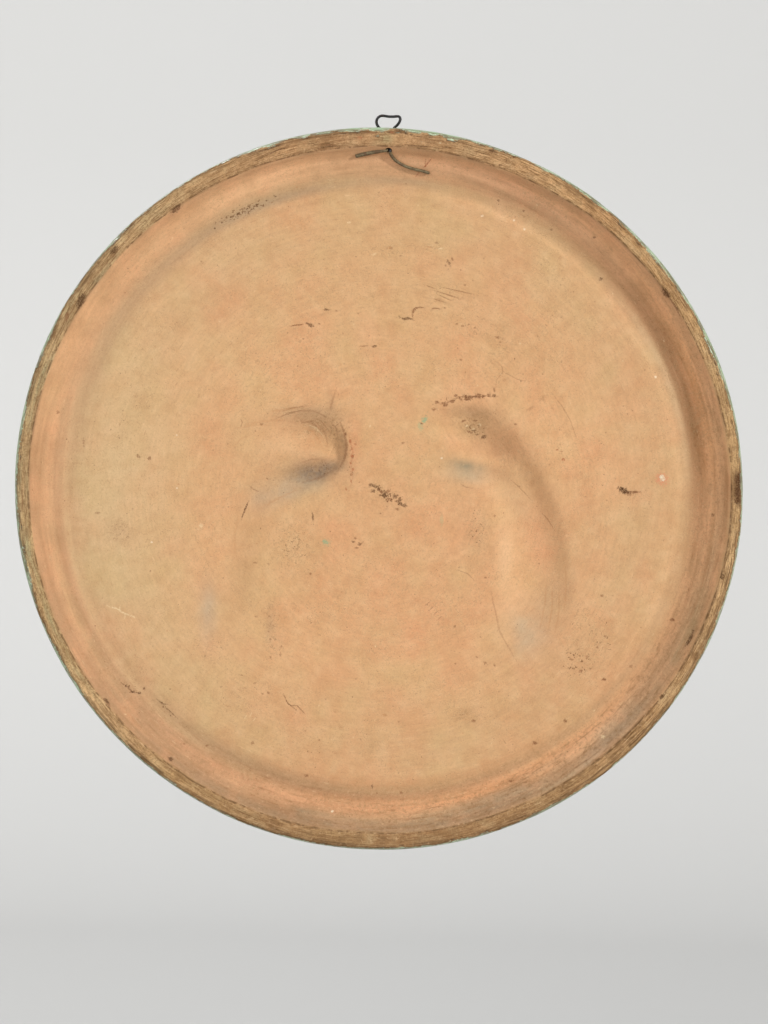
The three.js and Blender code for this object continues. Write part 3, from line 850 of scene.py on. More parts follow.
# Small darker and lighter spots over the field and the hollows; the lightening at 278, 453 is a painted highlight on
# the left hollow's bulge.
for px, py, rx, ry, share in (
    (570, 440, 58, 54, -0.050), (508, 473, 15, 9, 0.050), (499, 489, 9, 9, 0.060),
    (516, 606, 26, 26, -0.045), (512, 641, 14, 8, -0.045), (278, 453, 22, 7, -0.060),
    (242, 471, 14, 9, -0.050), (256, 486, 13, 7, 0.045), (344, 484, 13, 8, 0.045),
    (318, 414, 16, 6, -0.040), (240, 427, 12, 7, 0.040), (275, 641, 9, 7, 0.050),
    (610, 480, 24, 26, -0.040), (300, 395, 50, 9, -0.030), (300, 484, 12, 6, -0.055),
    (150, 300, 26, 20, -0.03), (640, 430, 18, 30, -0.02), (400, 300, 26, 18, 0.02),
):
    darker((share, share, share), blob(px, py, rx, ry, 0, 1.0))

groove = near(R_IN, 179.2, 5)
blend("#c79c73", groove * (0.25 + 0.20 * turned(135, 60) + 0.75 * turned(-80, 75)))
upper_wall = ramp01(R_IN, 181, 187) * ramp01(R_IN, 203, 201)
blend("#d6a277", upper_wall * 0.80)
blend("#cda27a", 0.80 * near(R_IN, 180.5, 9) * turned(138, 58))
blend("#cb9f78", 0.70 * near(R_IN, 186.0, 5.0) * turned(180, 55))
# This and the next: darker tones at the foot of the right wall, painted shade inside its cast shadow.
blend("#c08a60", 0.85 * near(R_IN, 185.5, 8.5) * turned(20, 52))
blend("#b98458", 0.45 * near(R_IN, 188.0, 4.5) * turned(12, 40))
blend("#f0b27e", 0.80 * near(R_IN, 194.5, 7) * turned(18, 52))
blend("#dfa97b", 0.60 * near(R_IN, 186, 9) * turned(-28, 36))
blend("#e2a072", 0.80 * near(R_IN, 186.8, 6.5) * turned(-84, 66))
blend("#c5926c", 0.70 * ramp01(R_IN, 174, 184) * upper_wall * turned(-128, 46))
blend("#bd9069", 0.70 * near(R_IN, 176.5, 7.5) * turned(-106, 36))
blend("#c39469", 0.45 * near(R_IN, 175.5, 6.5) * turned(-70, 44))
blend("#c3936d", 0.60 * upper_wall * turned(-158, 44))
blend("#aa8f70", 0.95 * near(R_IN, 196.8, 6.4) * turned(-86, 92))
blend("#c9a27a", 0.50 * near(R_IN, 197, 5) * turned(-30, 40))
blend("#fac392", 0.90 * near(R_IN, 189.5, 8.5) * turned(108, 42))
blend("#fcc193", 0.75 * near(R_IN, 192.5, 7) * turned(72, 45))
blend("#a8967c", 0.38 * near(R_IN, 179.0, 4.2) * turned(113, 26))
blend("#a8967c", 0.26 * near(R_IN, 181.5, 4.0) * turned(87, 12))
# Greyish dust lying along the lower right wall, in patches.
drift = layered(TURN * 26 + 52, R_IN / 8.0, 94, 3, 26)
lower_right = turned(-62, 62)
blend("#b29d80", 0.80 * near(R_IN, 192.5, 9) * turned(-60, 34) * ramp01(drift, -0.45, 0.25))
blend("#a89577", 0.42 * near(R_IN, 196, 6) * lower_right * ramp01(drift, 0.0, 0.35))
blend("#a8977a", 0.60 * near(R_IN, 193.5, 7) * turned(-104, 18) * ramp01(drift, -0.3, 0.3))
darker((0.12, 0.10, 0.06), near(R_IN, 188, 12) * turned(-24, 22) * (0.7 + 0.8 * drift))
# Field and wall, a little browner outwards.
field_part = 1 - ramp01(R_IN, 168, 176)
darker((0.028, 0.015, 0.012), np.ones(len(U)))
darker((0.030, 0.020, 0.015), ramp01(R_IN, 100, 128))
darker((0.035, 0.005, 0.0), ramp01(R_IN, 132, 156) * field_part)
wall_part = ramp01(R_IN, 166, 176) * ramp01(R_IN, 203, 200)
darker((0.060, 0.030, 0.010), wall_part * (1 - 0.8 * turned(-55, 45)) * (1 - 0.6 * turned(40, 60) * ramp01(R_IN, 188, 195)))
darker((0.130, 0.100, 0.080), near(R_IN, 184, 15) * turned(-122, 34))
darker((0.090, 0.050, 0.040), near(R_IN, 190, 12) * turned(-146, 30))
# Painted shade at the foot of the right wall, inside its cast shadow.
darker((0.110, 0.090, 0.080), near(R_IN, 187.5, 7) * turned(20, 30))
darker((0.070, 0.050, 0.040), near(R_IN, 188, 6) * turned(66, 28))
darker((0.080, 0.020, 0.020), near(R_IN, 184, 6) * turned(112, 26))
darker((0.060, 0.030, 0.030), near(R_IN, 175, 8) * turned(157, 32))
# Lighter and darker bands by radius and direction, as shares of red, green and blue taken away. The lightening of the
# top wall under the ring is painted light on a face turned down from the key light; the lightening on the right at
# 174 to 181 mm is painted light at the inner end of the right wall's cast shadow.
for amounts, at, half, centre, spread in (
    ((-0.07, -0.065, -0.06), 174.5, 5.5, 22, 70), ((-0.07, -0.09, -0.11), 181.0, 4.0, 22, 30),
    ((-0.05, -0.05, -0.05), 181.0, 4.0, -20, 26), ((-0.06, -0.06, -0.03), 185.5, 6.0, -24, 26),
    ((0.05, 0.06, 0.08), 190.0, 4.0, 22, 26), ((-0.07, -0.08, -0.08), 194.5, 5.5, 68, 30),
    ((-0.09, -0.11, -0.12), 194.8, 5.5, 108, 34), ((-0.05, -0.06, -0.05), 189.5, 5.0, 128, 38),
    ((-0.05, -0.07, -0.07), 197.0, 7.0, 158, 32), ((-0.05, -0.08, -0.07), 189.5, 5.5, -158, 28),
    ((-0.07, -0.07, -0.06), 187.5, 6.5, -64, 30), ((-0.07, -0.08, -0.09), 191.0, 9.0, -50, 16),
    ((-0.05, -0.06, -0.07), 198.5, 4.5, -66, 30), ((0.06, 0.09, 0.12), 194.0, 6.0, -104, 10),
    ((0.06, 0.03, 0.03), 196.0, 6.0, -22, 14), ((0.04, 0.07, 0.13), 189.0, 6.0, 7, 13),
    ((-0.03, -0.07, -0.08), 192.5, 6.0, -80, 14), ((-0.03, -0.06, -0.06), 186.0, 7.0, -145, 20),
    ((-0.04, -0.05, -0.04), 190.0, 5.5, -158, 28), ((-0.05, -0.05, -0.05), 185.5, 5.0, -66, 30),
    ((-0.04, -0.05, -0.07), 199.0, 4.0, -66, 30), ((-0.04, -0.04, -0.03), 183.0, 7.0, -22, 28),
    ((-0.05, -0.09, -0.12), 181.0, 4.0, 22, 30), ((-0.02, -0.04, -0.05), 176.0, 4.0, 22, 30),
    ((0.02, 0.05, 0.08), 190.0, 4.0, 20, 26), ((-0.05, -0.06, -0.06), 176.5, 4.5, 68, 30),
    ((-0.05, -0.06, -0.08), 195.0, 5.0, 68, 32), ((-0.07, -0.08, -0.09), 195.5, 5.5, 108, 36),
    ((-0.045, -0.055, -0.05), 192.5, 12.0, 157, 32), ((-0.08, -0.10, -0.13), 191.5, 9.0, -48, 17),
    ((0.05, 0.03, 0.02), 196.0, 6.0, -20, 12), ((0.06, 0.06, 0.07), 194.0, 6.0, -104, 11),
    ((-0.05, -0.06, -0.07), 199.0, 3.0, 100, 50), ((-0.08, -0.09, -0.11), 191.5, 9.0, -48, 17),
    ((0.04, 0.05, 0.05), 194.5, 6.0, -103, 10), ((0.05, 0.03, 0.03), 199.0, 4.0, -18, 8),
    ((0.01, 0.03, 0.06), 188.0, 6.0, 8, 12), ((0.0, 0.055, 0.08), 181.0, 4.0, -90, 50),
    ((-0.06, -0.04, -0.02), 185.7, 4.0, -66, 30), ((-0.05, -0.05, -0.05), 185.7, 4.0, -22, 28),
    ((-0.05, -0.08, -0.10), 181.0, 4.0, 22, 30), ((0.02, 0.05, 0.07), 190.4, 4.0, 22, 28),
    ((-0.06, -0.04, -0.03), 195.0, 4.0, 22, 28), ((-0.05, -0.05, -0.06), 176.4, 4.5, 68, 30),
    ((-0.06, -0.06, -0.06), 195.0, 4.0, 68, 30), ((-0.07, -0.07, -0.07), 195.0, 4.5, 110, 32),
    ((-0.05, -0.05, -0.05), 185.7, 4.0, 157, 30), ((-0.06, -0.06, -0.06), 199.4, 3.0, 157, 30),
    ((-0.05, -0.08, -0.12), 198.6, 4.0, -46, 20), ((0.05, 0.0, -0.02), 197.0, 4.0, -61, 7),
    ((0.05, 0.02, 0.0), 197.0, 4.0, -95, 8), ((0.04, 0.04, 0.04), 196.0, 5.0, -104, 8),
    ((0.03, 0.0, -0.03), 197.5, 4.0, -75, 22), ((0.06, 0.03, 0.04), 199.0, 4.0, -19, 8),
    ((0.04, 0.03, 0.03), 197.0, 4.0, -28, 8), ((0.01, 0.05, 0.08), 190.4, 4.5, 20, 28),
    ((-0.04, -0.07, -0.09), 181.0, 4.0, 22, 28), ((0.01, 0.06, 0.07), 181.0, 4.5, -90, 46),
    ((0.04, 0.06, 0.07), 185.7, 4.0, -112, 24), ((-0.05, -0.03, -0.02), 185.7, 4.0, -66, 24),
    ((0.0, 0.05, 0.07), 171.7, 4.5, -90, 48), ((-0.04, -0.05, -0.05), 171.7, 4.5, -22, 24),
    ((-0.06, -0.06, -0.06), 193.0, 7.0, 110, 30), ((-0.05, -0.05, -0.05), 197.5, 5.0, 157, 28),
    ((-0.05, -0.03, -0.02), 195.0, 4.0, 22, 26), ((-0.04, -0.05, -0.04), 191.0, 5.0, -158, 24),
    ((-0.09, -0.10, -0.10), 198.6, 5.0, -43, 22), ((-0.03, -0.10, -0.14), 199.2, 4.5, -54, 11),
    ((0.06, 0.0, -0.02), 197.0, 5.0, -61, 6), ((0.06, 0.02, 0.0), 197.5, 5.0, -95, 9),
    ((0.04, 0.05, 0.06), 196.0, 6.0, -104, 9), ((0.03, 0.07, 0.11), 190.4, 5.0, 20, 30),
    ((-0.05, -0.03, -0.02), 195.0, 4.0, 22, 28), ((-0.05, -0.05, -0.06), 195.0, 4.5, 68, 32),
    ((-0.05, -0.055, -0.05), 195.0, 5.0, 135, 55), ((0.01, 0.05, 0.06), 181.0, 4.5, -90, 48),
    ((-0.06, -0.07, -0.07), 198.6, 5.0, -45, 20), ((-0.01, -0.07, -0.09), 199.2, 4.5, -54, 11),
    ((0.06, 0.02, 0.03), 198.0, 5.0, -23, 12), ((0.03, 0.045, 0.045), 190.4, 4.5, 68, 28),
    ((-0.03, -0.04, -0.04), 190.4, 4.5, -158, 26), ((-0.04, -0.03, -0.02), 185.7, 4.0, -66, 24),
):
    darker(amounts, near(R_IN, at, half) * turned(centre, spread))
blend("#e8ac7c", 0.45 * near(R_IN, 184.5, 5) * turned(-52, 24))
blend("#baa48c", 0.62 * near(R_IN, 197.3, 4.2) * turned(-49, 22) * ramp01(drift, -0.6, 0.2))
blend("#b98a60", 0.45 * near(R_IN, 199.3, 3.2) * turned(126, 26) * ramp01(drift, -0.3, 0.3))
streak = layered(TURN * 22 + 44, R_IN / 2.6, 84, 3, 22)
streak_b = layered(TURN * 34 + 68, R_IN / 1.5, 92, 3, 34)
calm = 1 - 0.45 * turned(130, 70)
blend("#a97f5a", calm * upper_wall * (0.62 * np.clip(streak, 0, 1) + 0.44 * np.clip(streak_b, 0, 1)))
blend("#f0b487", calm * upper_wall * (0.42 * np.clip(-streak, 0, 1) + 0.36 * np.clip(-streak_b, 0, 1)))
right_wall = upper_wall * turned(4, 36)
blend("#8f6339", right_wall * (0.55 * np.clip(streak, 0, 1) + 0.55 * np.clip(streak_b, 0, 1)))
blend("#d9a478", right_wall * (0.35 * np.clip(-streak, 0, 1) + 0.35 * np.clip(-streak_b, 0, 1)))
blend("#8c7350", 0.55 * near(R_IN, 197, 6.5) * turned(-27, 20) * np.clip(0.3 + streak_b + 0.6 * drift, 0, 1))
blotch_w = layered(U / 10 + 3, V / 10 + 9, 96, 3)
blend("#b98d66", upper_wall * 0.45 * np.clip(blotch_w, 0, 1))
blend("#e8ab80", upper_wall * 0.40 * np.clip(-blotch_w, 0, 1))

# The foot ring, browner and dirtier than the rest.
ring_at = R_IN + (R - R_IN) * ramp01(R, 204, 207) - rim_wave(ANGLE) * ramp01(R, 207.2, 204.5)
foot = ramp01(ring_at, 200.9, 202.0)
blend("#d0a472", foot * 0.9)
blend("#d9ad79", foot * 0.7 * turned(5, 50))
blend("#cbaa7e", foot * 0.6 * turned(160, 60))
blend("#dba577", foot * 0.6 * turned(90, 55))
blend("#a98057", foot * 0.85 * turned(-88, 62))
blend("#dda66f", foot * 0.40 * turned(45, 24))
blend("#a3714a", foot * 0.30 * turned(-92, 50))
blend("#a4a87c", foot * 0.50 * blob(386, 140, 9, 7))
darker((0.025, -0.005, -0.01), foot)
for amounts, centre, spread in (
    ((-0.10, -0.12, -0.14), -138, 22), ((-0.02, -0.05, -0.05), 180, 50), ((-0.06, -0.06, -0.06), 9, 9),
    ((-0.09, -0.09, -0.09), 60, 16), ((-0.04, -0.06, -0.08), -15, 14), ((0.10, 0.09, 0.07), 97, 10),
    ((0.09, 0.08, 0.07), 78, 8), ((0.11, 0.12, 0.12), -25, 9), ((-0.14, -0.15, -0.19), -140, 15),
    ((-0.07, -0.08, -0.07), -122, 12), ((-0.08, -0.09, -0.09), -168, 10), ((0.08, 0.11, 0.12), 51, 8),
    ((-0.05, -0.06, -0.08), -15, 12), ((0.07, 0.09, 0.11), 103, 7), ((-0.06, -0.10, -0.10), -95, 9),
    ((-0.08, -0.09, -0.10), -168, 10), ((-0.09, -0.10, -0.12), -140, 15), ((-0.07, -0.09, -0.07), -121, 14),
    ((-0.05, -0.06, -0.08), -15, 11), ((0.08, 0.10, 0.11), 51, 9), ((0.07, 0.07, 0.08), -25, 8),
    ((0.06, 0.09, 0.10), 103, 8), ((-0.04, -0.09, -0.11), -95, 10),
):
    darker(amounts, foot * turned(centre, spread))
# Lighter outer band of the foot ring, less at the bottom: painted light where the edge rolls away from the light.
darker((-0.09, -0.14, -0.155), near(R, 208.0, 3.6) * (R > 204) * (1 - 0.9 * turned(-90, 80)))
darker((0.14, 0.01, 0.0), near(ring_at, 203.4, 3.4) * turned(-158, 28))
darker((0.05, 0.035, 0.04), near(ring_at, 203.4, 3.4) * turned(158, 28))
darker((-0.11, -0.13, -0.15), near(ring_at, 203.4, 3.0) * turned(-90, 52))
darker((0.06, 0.09, 0.10), foot * turned(-30, 40))
darker((0.05, 0.06, 0.06), foot * turned(112, 30))
blotch = layered(U / 7 + 4, V / 7 + 6, 97, 3)
blend("#7c5d3f", foot * 0.75 * np.clip(blotch - 0.02, 0, 1) * (1 + 0.6 * turned(-60, 70)))
blend("#d9bb8d", foot * 0.65 * np.clip(-blotch - 0.02, 0, 1))
rim_noise = layered(TURN * 60 + 120, R_IN / 3.0, 85, 3, 60)
blend("#8a6a45", foot * (0.35 + 0.45 * turned(-95, 95)) * np.clip(rim_noise + 0.1, 0, 1))
blend("#a1a985", foot * 0.80 * turned(180, 80) * np.clip(-rim_noise - 0.02, 0, 1))
# A dark line along the foot ring's inner edge, weaker at the lower left: partly a dark line in the clay, partly
# painted shade where the ring drops into the wall.
inner_edge_line_and_shade = near(ring_at, 201.5, 1.2)
blend(
    "#6d5238",
    inner_edge_line_and_shade * (0.26 + 0.4 * noise(TURN * 80 + 160, TURN * 0, 86, 80)) * (1 - 0.75 * turned(-125, 75)),
)
# A thin dark line along the foot ring's outer corner: painted shade where the edge rolls away.
outer_edge_shade = near(R, 207.1, 1.1) * (R > 204)
blend(
    "#5f452f",
    outer_edge_shade * np.clip(0.15 + 1.2 * noise(TURN * 110 + 220, TURN * 0, 98, 110)
                         + 0.20 * turned(-34, 40) - 0.45 * turned(176, 60), 0, 0.8),
)
blend("#694a31", 0.92 * foot * blob(737.2, 479, 7.5, 9, 0, 1.5))
blend("#694a31", 0.92 * foot * blob(736.8, 494, 7.0, 11, 0, 1.5))
# How strongly the fine turning lines of the ring stand out.
lined = foot * np.clip(
    0.80 + 0.50 * turned(66, 28) + 0.30 * turned(-20, 30) - 0.45 * turned(-92, 50)
    + 0.7 * layered(TURN * 24 + 48, R_IN / 6, 99, 2, 24), 0.15, 1.5,
)
# Dirt: how strongly streaks and blotches of it lie on each place.
grime = 0.66 * foot + upper_wall * (0.12 + 0.40 * turned(8, 60) + 0.40 * turned(-50, 55))
grime = grime + 0.55 * ramp01(R_IN, 171, 179) * (1 - foot) * turned(-88, 85)
grime = grime + 0.30 * near(R_IN, 180, 9) * turned(125, 50)
for px, py, rx, ry, share in (
    (318, 418, 30, 16, 0.50), (335, 440, 14, 26, 0.55), (308, 472, 32, 15, 0.62),
    (478, 420, 30, 18, 0.5), (515, 455, 24, 20, 0.35), (292, 546, 28, 28, 0.32),
    (478, 533, 16, 26, 0.32), (590, 655, 26, 26, 0.30), (440, 296, 26, 12, 0.30),
    (119, 532, 18, 16, 0.35), (270, 625, 8, 26, 0.40), (465, 715, 16, 12, 0.30),
    (386, 495, 26, 18, 0.35), (500, 350, 22, 30, 0.22),
):
    grime = grime + share * blob(px, py, rx, ry, 0, 1.2)
grime = np.clip(0.06 + grime, 0, 1)
skirt = ramp01(round_the_edge(R, D), 0.6, 1.8) * (R > 200)
blend("#8d6e4a", skirt * 0.8)
# Dark brown inside the pierced hole: painted shade of the narrow bore.
tone = np.where(in_hole[:, None], clay("#7a5c44"), tone)

# Masks for the finer marks, from 0 to 1.
speckle = np.zeros(len(U))
for px, py, rx, ry, turn, share in (
    (386, 494, 20, 8, -24, 1.0), (400, 501, 9, 6, -30, 1.0), (357, 542, 7, 5, 0, 0.75),
    (475, 427, 15, 11, 0, 0.84), (243, 210, 40, 7.0, 26, 1.0), (577, 664, 24, 20, 35, 0.74),
    (462, 399, 26, 4.0, 4, 0.8), (436, 408, 8, 7, 30, 0.7), (351, 460, 5, 30, 0, 0.6),
    (308, 404, 14, 4, 0, 0.6), (601, 610, 10, 40, -10, 0.45), (130, 420, 26, 60, 0, 0.3),
    (603, 642, 14, 20, 35, 0.66), (488, 662, 12, 6, 0, 0.6), (412, 313, 14, 5, 35, 0.5),
    (448, 291, 24, 6, -11, 0.45), (300, 323, 16, 3, 4, 0.45), (465, 325, 13, 5, -10, 0.55),
    (119, 532, 16, 13, 0, 0.60), (465, 715, 12, 9, 0, 0.45), (561, 455, 7, 9, 0, 0.45),
    (478, 533, 14, 22, 0, 0.65), (292, 546, 24, 25, 0, 0.60), (129, 687, 11, 3.4, -17, 1.0),
    (164, 708, 12, 3.2, -45, 1.0), (316, 468, 26, 13, 12, 0.62), (332, 440, 14, 26, 0, 0.5),
):
    speckle = np.maximum(speckle, share * blob(px, py, rx, ry, turn, 1.0))
speckle = np.maximum(speckle, 0.45 * groove * turned(-70, 80))
speckle = np.maximum(speckle, foot * 0.34)
speckle = np.maximum(speckle, 0.21 + 0.13 * wide_b + 0.11 * patch_b)
# Dried, curling skin of slip, in patches.
flaky = np.zeros(len(U))
for px, py, rx, ry, turn, share in (
    (293, 546, 26, 28, 0, 1.0), (312, 566, 16, 12, 20, 0.8), (119, 532, 17, 15, 0, 0.9),
    (460, 712, 24, 13, 0, 0.8), (168, 322, 20, 16, 0, 0.7), (478, 527, 15, 26, 0, 0.7),
    (310, 430, 34, 30, 0, 0.8), (270, 480, 40, 34, 0, 0.5), (600, 640, 20, 40, -20, 0.7),
    (330, 240, 60, 20, 0, 0.4), (240, 700, 50, 36, 0, 0.5), (273, 640, 10, 34, 0, 0.8),
    (449, 291, 22, 9, -14, 0.8), (588, 655, 24, 22, 30, 0.7), (368, 742, 14, 10, 0, 0.6),
    (300, 700, 26, 20, 0, 0.5), (435, 616, 14, 12, 40, 0.7), (476, 428, 14, 11, 0, 0.7),
    (620, 420, 20, 40, 0, 0.4), (386, 250, 24, 14, 0, 0.75), (436, 247, 20, 9, 8, 0.8), (230, 480, 26, 20, 0, 0.4), (400, 250, 50, 22, 0, 0.45),
):
    flaky = np.maximum(flaky, share * blob(px, py, rx, ry, turn, 1.1))

flaky = np.maximum(flaky, 0.30 + 0.35 * wide_b)
flaky = flaky * (1 - 0.75 * foot)

# Hollows and ridges of the glazed front: where glaze pools, and where it runs thin.
fu, fv = U[is_front], V[is_front]
here = front_depth(fu, fv)
lift = np.zeros(len(here))
for reach in (2.4, 5.5):
    round_about = sum(
        front_depth(fu + reach * math.cos(b), fv + reach * math.sin(b))
        for b in (0.4, 0.4 + math.pi / 2, 0.4 + math.pi, 0.4 + 3 * math.pi / 2)
    )
    lift += (here - round_about / 4) / reach
raised = np.zeros(len(U))
raised[is_front] = np.clip(lift * 2.2, -1, 1)
raised = np.where(
    R > 200, np.clip(0.9 * near(round_the_edge(R, D), 17.0, 2.5), 0, 1), raised
)


def add_values(mesh, name, values, kind="FLOAT"):
    layer = mesh.attributes.new(name, kind, "POINT")
    if kind == "FLOAT":
        layer.data.foreach_set("value", np.ascontiguousarray(values, np.float32))
    elif kind == "FLOAT_VECTOR":
        layer.data.foreach_set("vector", np.ascontiguousarray(values, np.float32).ravel())
    else:
        full = np.concatenate([values, np.ones((len(values), 1))], 1) if values.shape[1] == 3 else values
        layer.data.foreach_set("color", np.ascontiguousarray(full, np.float32).ravel())


# ---- Single marks -------------------------------------------------------------------------------
MARK_TONES = {
    "brown": clay("#87593a"), "dark": clay("#5f4029"), "rust": clay("#ab6340"),
    "pale": clay("#edd2a6"), "white": clay("#f3e0c0"), "green": clay("#99ae86"),
    "pink": clay("#d98f6c"), "blue": clay("#9a958c"), "sand": clay("#c08a5c"),
}
